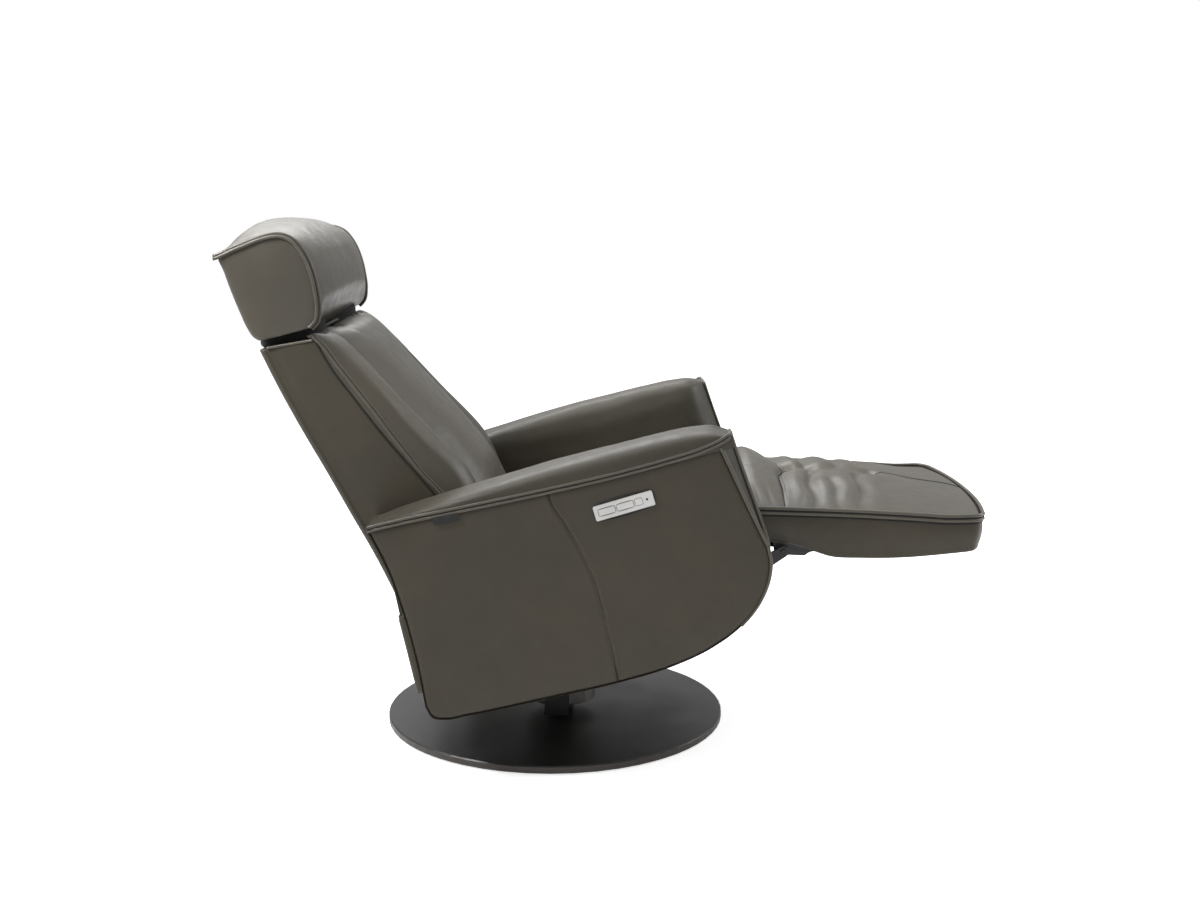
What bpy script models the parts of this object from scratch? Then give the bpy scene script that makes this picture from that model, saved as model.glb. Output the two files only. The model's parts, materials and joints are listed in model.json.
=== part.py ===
"""Power recliner armchair on a swivel disc base, modelled in its reclined pose with the footrest out.

Metres, +Z up, +X towards the chair's front, -Y on the sitter's right. The origin is on the floor at the
centre of the base disc. Parts that tilt are drawn in upright frames and hang on empties that stand on the
joint axes, so that turning an empty poses the chair:
  seat frame      upright body coordinates, turned nose-up by SEAT_TILT about TILT_AXIS
  back frame      upright body coordinates, leant back by BACK_RECLINE about BACK_AXIS
  headrest frame  same coordinates as the back, on HEADREST_AXIS
  footrest board  (along, up) coordinates from BOARD_AXIS, sloping down by BOARD_SLOPE
"""

import math

import bmesh
import bpy
from mathutils import Matrix, Vector

# Driving sizes
GAP = 0.0003
DISC_RADIUS = 0.330
DISC_TOP = 0.016
FLOOR_PAD = 0.002
SWIVEL_X = 0.012
ARM_OUTER = 0.390
ARM_INNER = 0.2725
PANEL_BACK = 0.366
PIPING_Z = 0.5235
SEAT_HALF = 0.257
BACK_HALF = 0.262
HEADREST_HALF = 0.270
FOOTREST_HALF = 0.255
BOARD_IN = 0.240
BOARD_OUT = 0.2575

# Joint axes, all along Y, as (x, z) in the frame of the part that carries them
TILT_AXIS = (0.010, 0.150)
BACK_AXIS = (-0.130, 0.340)
HEADREST_AXIS = (-0.150, 0.880)
LINK_AXIS = (0.305, 0.2477)
BOARD_AXIS = (0.460, 0.300)

# The pose that the chair is drawn in, and the footrest's travel
SEAT_TILT = math.radians(12.5)
BACK_RECLINE = math.radians(14.0)
BOARD_SLOPE = math.radians(14.5)
LINK_TRAVEL = math.radians(47.2)

# Actuators: radius that each rod's pin works at, and rod sizes
CRANK_RADIUS = 0.047
LEVER_DROP = 0.105
ROD_RADIUS = 0.007
PIN_RADIUS = 0.004
RECLINE_Y = 0.064
FOOTREST_Y = -0.072

# Control panel: centre, slope and size on the near arm's outer face
PANEL_CENTRE = (0.2035, 0.4705)
PANEL_SLOPE = math.radians(4.0)
PANEL_SIZE = (0.104, 0.026)
ROCKER_SIZE = (0.0285, 0.0105)
ROCKER_PLACES = (-0.0302, 0.0020)
BUTTON_SIZE = (0.0125, 0.0115)
BUTTON_PLACE = 0.0260
LED_PLACE = 0.0405
LED_RADIUS = 0.0018
PANEL_FACE = -0.3935
KEY_FACE = -0.3942
KEY_BACK = -0.3915

COLOURS = {
    "leather": ((0.075, 0.070, 0.058), 0.45, 0.0),
    "black_steel": ((0.012, 0.012, 0.013), 0.40, 0.9),
    "grey_steel": ((0.180, 0.180, 0.180), 0.35, 0.9),
    "bare_steel": ((0.550, 0.550, 0.560), 0.30, 1.0),
    "beech": ((0.550, 0.380, 0.220), 0.60, 0.0),
    "black_plastic": ((0.015, 0.015, 0.016), 0.50, 0.0),
    "silver_plastic": ((0.700, 0.700, 0.690), 0.35, 0.3),
    "felt": ((0.030, 0.030, 0.030), 0.95, 0.0),
    "black_fabric": ((0.010, 0.010, 0.010), 0.90, 0.0),
}


# ---------------------------------------------------------------- helpers

def clear_scene():
    for obj in list(bpy.data.objects):
        bpy.data.objects.remove(obj, do_unlink=True)


def make_materials():
    made = {}
    for name, (colour, roughness, metallic) in COLOURS.items():
        mat = bpy.data.materials.new(name)
        mat.use_nodes = True
        shader = mat.node_tree.nodes["Principled BSDF"]
        shader.inputs["Base Color"].default_value = (*colour, 1.0)
        shader.inputs["Roughness"].default_value = roughness
        shader.inputs["Metallic"].default_value = metallic
        mat.diffuse_color = (*colour, 1.0)
        made[name] = mat
    return made


def make_collection(name):
    made = bpy.data.collections.new(name)
    bpy.context.scene.collection.children.link(made)
    return made


def turned_point(point, centre, angle):
    """The (x, z) point turned nose-down by angle about centre."""
    x, z = point[0] - centre[0], point[1] - centre[1]
    return (
        centre[0] + x * math.cos(angle) + z * math.sin(angle),
        centre[1] - x * math.sin(angle) + z * math.cos(angle),
    )


def joint_empty(name, axis, turn=0.0, parent=None, y=0.0, local=False):
    """An empty on a joint axis. Its parts keep their upright coordinates, or count from it if local."""
    empty = bpy.data.objects.new(name, None)
    empty.empty_display_size = 0.05
    empty.location = (axis[0], y, axis[1])
    empty.rotation_euler = (0.0, turn, 0.0)
    empty["back_to_frame"] = (0.0, 0.0, 0.0) if local else (-axis[0], -y, -axis[1])
    PARTS.objects.link(empty)
    if parent:
        attach(empty, parent)
    return empty


def attach(obj, parent):
    obj.parent = parent
    obj.matrix_parent_inverse = Matrix.Translation(Vector(parent["back_to_frame"]))


def finish(obj, frame, material):
    PARTS.objects.link(obj)
    obj.data.materials.append(MATERIALS[material])
    if frame:
        attach(obj, frame)
    return obj


def mesh_from(name, bm):
    bmesh.ops.recalc_face_normals(bm, faces=bm.faces)
    mesh = bpy.data.meshes.new(name)
    bm.to_mesh(mesh)
    bm.free()
    return bpy.data.objects.new(name, mesh)


def box(name, low, high, frame, material, bevel=0.0):
    bm = bmesh.new()
    bmesh.ops.create_cube(bm, size=1.0)
    size = [h - l for l, h in zip(low, high)]
    bmesh.ops.scale(bm, vec=size, verts=bm.verts)
    bmesh.ops.translate(bm, vec=[(l + h) / 2 for l, h in zip(low, high)], verts=bm.verts)
    obj = finish(mesh_from(name, bm), frame, material)
    if bevel:
        soften(obj, bevel)
    return obj


def soften(obj, width, segments=2):
    bevel = obj.modifiers.new("soften", "BEVEL")
    bevel.width = width
    bevel.segments = segments
    bevel.limit_method = "ANGLE"
    bevel.angle_limit = math.radians(40)


def cylinder(name, start, end, radius, frame, material, segments=24):
    start, end = Vector(start), Vector(end)
    along = end - start
    bm = bmesh.new()
    bmesh.ops.create_cone(
        bm, cap_ends=True, segments=segments, radius1=radius, radius2=radius, depth=along.length
    )
    turn = Vector((0, 0, 1)).rotation_difference(along).to_matrix().to_4x4()
    bmesh.ops.transform(bm, matrix=Matrix.Translation((start + end) / 2) @ turn, verts=bm.verts)
    obj = finish(mesh_from(name, bm), frame, material)
    obj.data.shade_smooth()
    obj.data.set_sharp_from_angle(angle=math.radians(40))
    return obj


def turned(name, profile, centre, axis, frame, material, steps=32, ring=False):
    """A profile of (radius, height) points spun about an axis through centre: X, or Z."""
    bm = bmesh.new()
    verts = [bm.verts.new((radius, 0.0, height)) for radius, height in profile]
    pairs = list(zip(verts, verts[1:]))
    if ring:
        pairs.append((verts[-1], verts[0]))
    for first, second in pairs:
        bm.edges.new((first, second))
    mesh = bpy.data.meshes.new(name)
    bm.to_mesh(mesh)
    bm.free()
    obj = finish(bpy.data.objects.new(name, mesh), frame, material)
    obj.location = centre
    if axis == "X":
        obj.rotation_euler = (0.0, math.radians(90), 0.0)
    screw = obj.modifiers.new("turn", "SCREW")
    screw.axis = "Z"
    screw.steps = steps
    screw.render_steps = steps
    screw.use_merge_vertices = True
    screw.merge_threshold = 0.00001
    return obj


def circle(centre, radius, steps=20):
    step = 2 * math.pi / steps
    return [
        (centre[0] + radius * math.cos(i * step), centre[1] + radius * math.sin(i * step))
        for i in range(steps)
    ]


def rounded(corners, steps=4):
    """An outline from (x, z) or (x, z, radius) corners, each radius made an arc of a few steps."""
    outline = []
    count = len(corners)
    for i, corner in enumerate(corners):
        point = Vector(corner[:2])
        if len(corner) == 2:
            outline.append(tuple(point))
            continue
        before = (Vector(corners[i - 1][:2]) - point).normalized()
        after = (Vector(corners[(i + 1) % count][:2]) - point).normalized()
        half = before.angle(after) / 2
        reach = corner[2] / math.tan(half)
        start, end = point + before * reach, point + after * reach
        outline.extend(bend(tuple(start), tuple(point), tuple(end), steps))
    return outline


def bend(start, control, end, steps):
    """Points of a quadratic curve from start to end that leans towards control."""
    points = []
    for i in range(steps + 1):
        t = i / steps
        points.append(tuple(
            (1 - t) ** 2 * a + 2 * t * (1 - t) * b + t * t * c
            for a, b, c in zip(start, control, end)
        ))
    return points


def capsule(first, second, radius_1, radius_2, steps=8):
    """The outline of a link with a round eye at each end."""
    along = math.atan2(second[1] - first[1], second[0] - first[0])
    outline = []
    for centre, radius, start in ((first, radius_1, along + math.pi / 2), (second, radius_2, along - math.pi / 2)):
        for i in range(steps + 1):
            angle = start + math.pi * i / steps
            outline.append((centre[0] + radius * math.cos(angle), centre[1] + radius * math.sin(angle)))
    return outline


def plate(name, outline, y_low, y_high, frame, material, holes=()):
    """A flat piece with an (x, z) outline and holes, between two y values."""
    curve = bpy.data.curves.new(name, "CURVE")
    curve.dimensions = "2D"
    curve.fill_mode = "BOTH"
    curve.extrude = (y_high - y_low) / 2
    for points in (outline, *holes):
        spline = curve.splines.new("POLY")
        spline.points.add(len(points) - 1)
        for slot, (x, z) in zip(spline.points, points):
            slot.co = (x, z, 0.0, 1.0)
        spline.use_cyclic_u = True
    obj = bpy.data.objects.new(name, curve)
    obj.location = (0.0, (y_low + y_high) / 2, 0.0)
    obj.rotation_euler = (math.radians(90), 0.0, 0.0)
    return finish(obj, frame, material)


def pad(name, outline, y_low, y_high, frame, material="leather", bevel=0.008):
    """A soft block with an (x, z) outline between two y values, its edges rounded."""
    bm = bmesh.new()
    face = bm.faces.new([bm.verts.new((x, y_low, z)) for x, z in outline])
    grown = bmesh.ops.extrude_face_region(bm, geom=[face])["geom"]
    moved = [item for item in grown if isinstance(item, bmesh.types.BMVert)]
    bmesh.ops.translate(bm, vec=(0.0, y_high - y_low, 0.0), verts=moved)
    obj = finish(mesh_from(name, bm), frame, material)
    soften(obj, bevel)
    return obj


def wire(name, points, radius, frame, material, resolution=2):
    curve = bpy.data.curves.new(name, "CURVE")
    curve.dimensions = "3D"
    curve.bevel_depth = radius
    curve.bevel_resolution = resolution
    curve.use_fill_caps = True
    spline = curve.splines.new("POLY")
    spline.points.add(len(points) - 1)
    for slot, point in zip(spline.points, points):
        slot.co = (*point, 1.0)
    return finish(bpy.data.objects.new(name, curve), frame, material)


def as_mesh(obj):
    """The curve object made a closed mesh object of the same name, which a Boolean can work on."""
    bpy.context.view_layer.update()
    graph = bpy.context.evaluated_depsgraph_get()
    mesh = bpy.data.meshes.new_from_object(obj.evaluated_get(graph))
    bm = bmesh.new()
    bm.from_mesh(mesh)
    bmesh.ops.remove_doubles(bm, verts=bm.verts, dist=0.00001)
    bmesh.ops.recalc_face_normals(bm, faces=bm.faces)
    bm.to_mesh(mesh)
    bm.free()
    name, parent, inverse = obj.name, obj.parent, obj.matrix_parent_inverse.copy()
    place = obj.matrix_basis.copy()
    bpy.data.objects.remove(obj, do_unlink=True)
    made = bpy.data.objects.new(name, mesh)
    PARTS.objects.link(made)
    made.parent = parent
    made.matrix_parent_inverse = inverse
    made.matrix_basis = place
    return made


def weld_on(main, extra):
    """Joins extra to main as one solid, and keeps extra only as the Boolean's operand."""
    join = main.modifiers.new("weld_" + extra.name, "BOOLEAN")
    join.operation = "UNION"
    join.object = extra
    PARTS.objects.unlink(extra)
    CUTTERS.objects.link(extra)
    extra.hide_render = True
    extra.display_type = "WIRE"
    return main


def both_sides(build):
    """Calls build(side name, sign) for the sitter's right, at -Y, and left, at +Y."""
    for side, sign in (("R", -1), ("L", 1)):
        build(side, sign)


def span(sign, inner, outer):
    """The low and high y of a piece on one side."""
    return (inner, outer) if sign > 0 else (-outer, -inner)


# ---------------------------------------------------------------- base and swivel

def build_base():
    profile = [
        (0.0, DISC_TOP), (DISC_RADIUS - 0.002, DISC_TOP), (DISC_RADIUS, DISC_TOP - 0.002),
        (DISC_RADIUS, FLOOR_PAD + 0.0018), (DISC_RADIUS - 0.0015, FLOOR_PAD + GAP), (0.0, FLOOR_PAD + GAP),
    ]
    turned("base_disc", profile, (0, 0, 0), "Z", None, "black_steel", steps=64)
    pad_radius = DISC_RADIUS - 0.006
    turned("floor_pad", [(0.0, FLOOR_PAD), (pad_radius, FLOOR_PAD), (pad_radius, 0.0), (0.0, 0.0)],
           (0, 0, 0), "Z", None, "felt", steps=48)
    cylinder("base_post", (SWIVEL_X, 0, DISC_TOP + GAP), (SWIVEL_X, 0, 0.087), 0.024, None, "black_steel", 32)


def build_swivel(frame):
    hub = [(0.0245, 0.038), (0.0245, 0.088), (0.066, 0.088), (0.068, 0.086), (0.068, 0.040), (0.066, 0.038)]
    turned("swivel_hub", hub, (SWIVEL_X, 0, 0), "Z", frame, "grey_steel", steps=32, ring=True)
    box("chassis_plate", (-0.140, -0.073, 0.0883), (0.075, 0.073, 0.0943), frame, "black_steel", 0.001)

    def bracket(side, sign):
        x, z = TILT_AXIS
        outline = [(-0.020, 0.022), (0.028, 0.022), *bend((x + 0.022, z), (x + 0.022, z + 0.022), (x, z + 0.022), 4),
                   *bend((x, z + 0.022), (x - 0.022, z + 0.022), (x - 0.022, z), 4)[1:]]
        plate("chassis_bracket_" + side, outline, *span(sign, 0.0733, 0.0783), frame, "black_steel",
              [circle(TILT_AXIS, 0.0145)])

    both_sides(bracket)


# ---------------------------------------------------------------- seat body

def build_seat_frame(frame):
    x, z = TILT_AXIS
    cylinder("tilt_tube", (x, -0.108, z), (x, 0.108, z), 0.014, frame, "bare_steel")

    def tilt_bracket(side, sign):
        outline = [(-0.020, 0.1895), *bend((x - 0.022, z), (x - 0.022, z - 0.022), (x, z - 0.022), 4),
                   *bend((x, z - 0.022), (x + 0.022, z - 0.022), (x + 0.022, z), 4)[1:], (0.040, 0.1895)]
        plate("tilt_bracket_" + side, outline, *span(sign, 0.095, 0.101), frame, "black_steel",
              [circle(TILT_AXIS, 0.0143)])

    def side_board(side, sign):
        outline = [(-0.200, 0.2155), (0.290, 0.2155), (0.335, 0.235), (0.335, 0.325), (-0.075, 0.325),
                   (-0.090, 0.285), (-0.200, 0.285)]
        plate("seat_side_board_" + side, outline, *span(sign, BOARD_IN, BOARD_OUT), frame, "beech",
              [circle(LINK_AXIS, 0.0135)])

    both_sides(tilt_bracket)
    both_sides(side_board)
    inner = BOARD_IN - GAP
    reach = ARM_INNER - GAP
    box("seat_front_rail", (0.342, -inner, 0.285), (0.360, inner, 0.325), frame, "beech", 0.001)
    box("seat_rear_rail", (-0.072, -inner, 0.285), (-0.050, inner, 0.325), frame, "beech", 0.001)
    box("seat_cross_rail_mid", (-0.020, -reach, 0.190), (0.040, reach, 0.215), frame, "black_steel", 0.002)
    box("seat_cross_rail_rear", (-0.200, -reach, 0.190), (-0.170, reach, 0.215), frame, "black_steel", 0.002)


def build_seat_springs(frame):
    """Three zig-zag springs from the rear rail to the front rail, under the seat cushion."""
    turns, half_width = 16, 0.030
    for number, y in enumerate((-0.150, 0.0, 0.150), start=1):
        points = []
        for i in range(turns + 1):
            x = -0.066 + (0.354 + 0.066) * i / turns
            side = half_width if i % 2 else -half_width
            points.extend([(x, y - side, 0.3275), (x, y + side, 0.3275)] if i < turns else [(x, y - side, 0.3275)])
        wire("seat_spring_%d" % number, points, 0.0017, frame, "bare_steel", resolution=0)


def panel_outline(inset=0.0):
    """The arm's side outline: level top, sloped front, a long round belly and a nearly straight rear."""
    top = PIPING_Z - 0.001 - inset
    belly = bend((0.428 - inset, 0.347), (0.425 - inset, 0.168 + inset), (0.130, 0.1655 + inset), 12)
    return [
        (-0.232 + inset, top), (0.190, top), (0.290, top + 0.004), (0.384 - inset, top + 0.009),
        (0.405 - inset, 0.441), *belly, (-0.150, 0.1655 + inset),
        *bend((-0.178, 0.1655 + inset), (-0.211 + inset, 0.168 + inset), (-0.211 + inset, 0.205), 4),
        (-0.210 + inset, 0.389), (-0.215 + inset, 0.455),
    ]


def build_arms(frame):
    def arm(side, sign):
        pad("side_panel_" + side, panel_outline(), *span(sign, PANEL_BACK + GAP, ARM_OUTER), frame, bevel=0.003)
        pad("arm_core_" + side, panel_outline(0.004), *span(sign, ARM_INNER, PANEL_BACK), frame, bevel=0.010)
        crown = [
            (-0.232, PIPING_Z), (-0.226, 0.530), (-0.150, 0.538), (-0.018, 0.551), (0.120, 0.561),
            (0.260, 0.566), (0.345, 0.565), (0.385, 0.556), (0.402, 0.540), (0.390, PIPING_Z + 0.0095),
            (0.290, PIPING_Z + 0.0045), (0.190, PIPING_Z),
        ]
        pad("arm_pad_" + side, crown, *span(sign, ARM_INNER - 0.002, ARM_OUTER), frame, bevel=0.004)

    both_sides(arm)
    box("arm_tag", (-0.117, -0.3925, 0.5070), (-0.074, -0.3905, 0.5180), frame, "black_fabric")
    box("rear_skirt", (-0.240, -0.268, 0.185), (-0.218, 0.268, 0.335), frame, "leather", 0.004)


def build_seat_cushion(frame):
    outline = rounded([(0.005, 0.335), (0.362, 0.335), (0.362, 0.452, 0.030), (0.240, 0.455), (0.005, 0.440)])
    pad("seat_cushion", outline, -SEAT_HALF, SEAT_HALF, frame, bevel=0.012)


def build_back_hinges(frame):
    x, z = BACK_AXIS

    def hinge(side, sign):
        eye = capsule((x, z), (x, 0.300), 0.020, 0.020)
        outline = [*eye[:9], (x - 0.045, 0.2160), (x + 0.045, 0.2160)]
        low, high = span(sign, 0.2325, 0.2385)
        leaf = as_mesh(plate("back_hinge_" + side, outline, low, high, frame, "black_steel"))
        stud = cylinder("back_hinge_stud_" + side, (x, sign * 0.2355, z), (x, sign * 0.2600, z), 0.008,
                        frame, "bare_steel")
        weld_on(leaf, stud)

    both_sides(hinge)


def build_actuator(name, rod_y, rod_z, x_mouth, x_rear, frame):
    """A turned motor housing with its outer tube, open at the mouth that the rod slides in."""
    bore = ROD_RADIUS + 0.0006
    length = x_mouth - x_rear
    step = x_rear + 0.38 * length
    floor = x_rear + 0.10 * length
    profile = [
        (0.0, floor), (bore, floor), (bore, x_mouth), (0.0125, x_mouth), (0.0125, step), (0.0240, step),
        (0.0240, x_rear), (0.0, x_rear),
    ]
    if length < 0:
        profile = profile[::-1]
    return turned(name, profile, (0.0, rod_y, rod_z), "X", frame, "black_plastic", steps=24)


def build_actuators(seat):
    lever_rest = turned_point((BACK_AXIS[0] - 0.010, BACK_AXIS[1] - LEVER_DROP), BACK_AXIS, -BACK_RECLINE)
    build_actuator("recline_actuator", RECLINE_Y, lever_rest[1], -0.075, 0.130, seat)
    build_actuator("footrest_actuator", FOOTREST_Y, LINK_AXIS[1] + CRANK_RADIUS, 0.262, 0.070, seat)
    box("control_box", (0.150, -0.030, 0.220), (0.250, 0.090, 0.262), seat, "black_plastic", 0.003)
    return lever_rest


def build_recline_rod(frame, end):
    x, z = end
    rod = cylinder("recline_rod", (x - 0.008, RECLINE_Y, z), (0.020, RECLINE_Y, z), ROD_RADIUS, frame, "bare_steel")
    pin = cylinder("recline_rod_pin", (x, RECLINE_Y, z), (x, 0.042, z), PIN_RADIUS, frame, "bare_steel", 16)
    weld_on(rod, pin)


def build_footrest_rod(frame):
    x = LINK_AXIS[0] + CRANK_RADIUS * math.tan(LINK_TRAVEL / 2)
    z = LINK_AXIS[1] + CRANK_RADIUS
    rod = cylinder("footrest_rod", (0.190, FOOTREST_Y, z), (x + 0.008, FOOTREST_Y, z), ROD_RADIUS, frame,
                   "bare_steel")
    pin = cylinder("footrest_rod_pin", (x, FOOTREST_Y, z), (x, -0.052, z), PIN_RADIUS, frame, "bare_steel", 16)
    weld_on(rod, pin)


# ---------------------------------------------------------------- control panel

def build_controls(frame, rockers, button):
    width, height = PANEL_SIZE
    low = ARM_OUTER + GAP

    def rectangle(u, size, radius):
        w, h = size[0] / 2, size[1] / 2
        return rounded([(u - w, -h, radius), (u + w, -h, radius), (u + w, h, radius), (u - w, h, radius)], 3)

    def opening(u, size):
        return rectangle(u, (size[0] + 0.001, size[1] + 0.001), 0.0015)

    holes = [opening(u, ROCKER_SIZE) for u in ROCKER_PLACES]
    holes.append(opening(BUTTON_PLACE, BUTTON_SIZE))
    holes.append(circle((LED_PLACE, 0.0), LED_RADIUS + 0.0004, 12))
    plate("control_bezel", rectangle(0.0, (width, height), 0.003), PANEL_FACE, -low, frame, "silver_plastic", holes)
    cylinder("indicator_led", (LED_PLACE, -low, 0.0), (LED_PLACE, PANEL_FACE, 0.0), LED_RADIUS, frame,
             "black_plastic", 12)
    for name, u, parent in zip(("recline_rocker", "footrest_rocker"), ROCKER_PLACES, rockers):
        plate(name, rectangle(0.0, ROCKER_SIZE, 0.0012), KEY_FACE, KEY_BACK, parent, "silver_plastic")
    plate("memory_button", rectangle(0.0, BUTTON_SIZE, 0.0030), KEY_FACE, KEY_BACK, button, "silver_plastic")


# ---------------------------------------------------------------- back

def build_back(frame):
    x, z = BACK_AXIS

    def side_board(side, sign):
        outline = [
            (-0.226, 0.893), (-0.228, 0.400), (x - 0.030, z - 0.008),
            *bend((x - 0.026, z - 0.018), (x, z - 0.050), (x + 0.026, z - 0.012), 4), (-0.062, 0.385),
            (-0.055, 0.440), (-0.070, 0.526), (-0.100, 0.670), (-0.122, 0.785), (-0.138, 0.866), (-0.150, 0.870),
        ]
        plate("back_side_board_" + side, outline, *span(sign, 0.244, BACK_HALF), frame, "beech",
              [circle(BACK_AXIS, 0.0085)])
        front = [
            (-0.145, 0.375), (-0.030, 0.375, 0.010), (-0.010, 0.440), (-0.004, 0.505), (-0.008, 0.540),
            (-0.034, 0.627), (-0.065, 0.723), (-0.089, 0.806), (-0.113, 0.860, 0.010), (-0.145, 0.862),
        ]
        pad("back_bolster_" + side, rounded(front), *span(sign, 0.168, 0.2435), frame, bevel=0.010)

    both_sides(side_board)
    wide = 0.244 - GAP
    box("back_top_rail", (-0.205, -wide, 0.790), (-0.1460, wide, 0.845), frame, "beech", 0.002)
    rail = box("back_bottom_rail", (-0.200, -wide, 0.375), (-0.156, wide, 0.400), frame, "black_steel")
    pin = (x - 0.010, z - LEVER_DROP)
    lever_outline = [(-0.195, 0.390), *capsule((x - 0.022, 0.300), pin, 0.014, 0.014)[9:], (-0.158, 0.390)]
    lever = as_mesh(plate("back_lever", lever_outline, 0.047, 0.053, frame, "black_steel",
                          [circle(pin, PIN_RADIUS + 0.0015, 16)]))
    weld_on(rail, lever)
    box("back_rear_panel", (-0.228, -wide, 0.380), (-0.210, wide, 0.893), frame, "leather", 0.003)
    centre = [
        (-0.145, 0.375), (-0.035, 0.375, 0.010), (-0.022, 0.440), (-0.028, 0.502), (-0.045, 0.592),
        (-0.065, 0.685), (-0.083, 0.749), (-0.100, 0.825), (-0.122, 0.862, 0.008), (-0.145, 0.864),
    ]
    pad("back_cushion", rounded(centre), -0.1675, 0.1675, frame, bevel=0.008)
    hx, hz = HEADREST_AXIS
    foot = 0.8455
    low = (hx, -0.160, foot)
    high = (hx, 0.160, foot)
    corner = 0.010
    route = [low, (hx, -0.160, hz - corner), (hx, -0.157, hz - 0.003), (hx, -0.150, hz),
             (hx, 0.150, hz), (hx, 0.157, hz - 0.003), (hx, 0.160, hz - corner), high]
    wire("headrest_hinge_bar", route, 0.004, frame, "bare_steel")


# ---------------------------------------------------------------- headrest

def build_headrest(frame):
    x, z = HEADREST_AXIS
    core = rounded([(-0.226, 0.908, 0.010), (-0.1600, 0.897), (-0.1600, 1.100), (-0.200, 1.092), (-0.226, 1.062)])
    pad("headrest_core", core, -HEADREST_HALF, HEADREST_HALF, frame, bevel=0.008)
    front = [
        (-0.1400, 0.894), (-0.124, 0.891), (-0.105, 0.912), (-0.090, 0.955), (-0.082, 1.000), (-0.085, 1.040),
        (-0.104, 1.075), (-0.1400, 1.096),
    ]
    pad("headrest_cushion", front, -HEADREST_HALF, HEADREST_HALF, frame, bevel=0.008)

    def arm(side, sign):
        outline = capsule((x, z), (x, 1.000), 0.0090, 0.0070)
        plate("headrest_arm_" + side, outline, *span(sign, 0.117, 0.123), frame, "bare_steel",
              [circle(HEADREST_AXIS, 0.0046, 12)])

    both_sides(arm)


# ---------------------------------------------------------------- footrest

def build_footrest_links(frame):
    x, z = LINK_AXIS
    tube = cylinder("footrest_torsion_tube", (x, -0.268, z), (x, 0.268, z), 0.012, frame, "black_steel")
    lean = LINK_TRAVEL / 2
    out = Vector((math.sin(lean), math.cos(lean)))
    eye = Vector(LINK_AXIS)
    slot_low = eye + out * (CRANK_RADIUS - 0.0005)
    slot_high = eye + out * (CRANK_RADIUS / math.cos(lean) + 0.0006)
    slot = capsule(slot_low, slot_high, PIN_RADIUS + 0.001, PIN_RADIUS + 0.001, 6)
    crank = as_mesh(plate("footrest_crank", capsule(eye, slot_high, 0.016, 0.0095), -0.063, -0.057, frame,
                          "black_steel", [slot]))
    weld_on(tube, crank)

    def link(side, sign):
        plate("footrest_link_" + side, capsule(LINK_AXIS, BOARD_AXIS, 0.019, 0.0095), *span(sign, 0.259, 0.265),
              frame, "black_steel", [circle(LINK_AXIS, 0.0123, 24), circle(BOARD_AXIS, 0.0055, 16)])

    both_sides(link)


def build_footrest_board(frame):
    base = [
        (-0.050, 0.018), (0.030, 0.016), (0.060, 0.004), (0.085, -0.004), (0.150, -0.0055), (0.220, -0.002),
        (0.331, 0.012), (0.348, 0.024), (0.355, 0.055), (0.352, 0.0715), (-0.050, 0.0715),
    ]
    pad("footrest_base", base, -FOOTREST_HALF, FOOTREST_HALF, frame, bevel=0.003)
    top = [
        (-0.062, 0.072), (-0.074, 0.100), (-0.074, 0.130), (-0.055, 0.142), (-0.027, 0.134), (0.011, 0.121),
        (0.100, 0.124), (0.197, 0.120), (0.280, 0.111), (0.330, 0.100), (0.354, 0.085), (0.354, 0.072),
    ]
    pad("footrest_pad", top, -FOOTREST_HALF, FOOTREST_HALF, frame, bevel=0.006)

    def bracket(side, sign):
        outline = [(-0.014, -0.009), (0.040, -0.009), (0.052, 0.000), (0.030, 0.0125), (-0.018, 0.0145)]
        low, high = span(sign, 0.243, 0.249)
        leaf = as_mesh(plate("footrest_hinge_" + side, outline, low, high, frame, "black_steel"))
        stud = cylinder("footrest_hinge_stud_" + side, (0, sign * 0.246, 0), (0, sign * 0.268, 0), 0.005,
                        frame, "bare_steel", 16)
        weld_on(leaf, stud)

    both_sides(bracket)


# ---------------------------------------------------------------- assembly

def build():
    build_base()
    swivel = joint_empty("axis_swivel", (SWIVEL_X, 0.0))
    build_swivel(swivel)

    seat = joint_empty("axis_seat_tilt", TILT_AXIS, -SEAT_TILT, swivel)
    build_seat_frame(seat)
    build_seat_springs(seat)
    build_arms(seat)
    build_seat_cushion(seat)
    build_back_hinges(seat)
    rod_end = build_actuators(seat)
    build_recline_rod(joint_empty("axis_recline_rod", rod_end, 0.0, seat), rod_end)
    build_footrest_rod(joint_empty("axis_footrest_rod", LINK_AXIS, 0.0, seat))

    panel = joint_empty("control_panel", PANEL_CENTRE, -PANEL_SLOPE, seat, local=True)
    rockers = [joint_empty("axis_rocker_%d" % i, (u, 0.0), 0.0, panel, local=True)
               for i, u in enumerate(ROCKER_PLACES, start=1)]
    button = joint_empty("axis_memory_button", (BUTTON_PLACE, 0.0), 0.0, panel, local=True)
    build_controls(panel, rockers, button)

    back = joint_empty("axis_back_recline", BACK_AXIS, -BACK_RECLINE, seat)
    build_back(back)
    build_headrest(joint_empty("axis_headrest_tilt", HEADREST_AXIS, 0.0, back))

    links = joint_empty("axis_footrest_lift", LINK_AXIS, 0.0, seat)
    build_footrest_links(links)
    build_footrest_board(joint_empty("axis_footrest_fold", BOARD_AXIS, BOARD_SLOPE, links, local=True))


clear_scene()
MATERIALS = make_materials()
PARTS = make_collection("recliner_armchair")
CUTTERS = make_collection("cutters")
build()
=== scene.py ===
import json
import math

import bpy
import bmesh
import numpy as np
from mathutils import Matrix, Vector, noise


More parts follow.
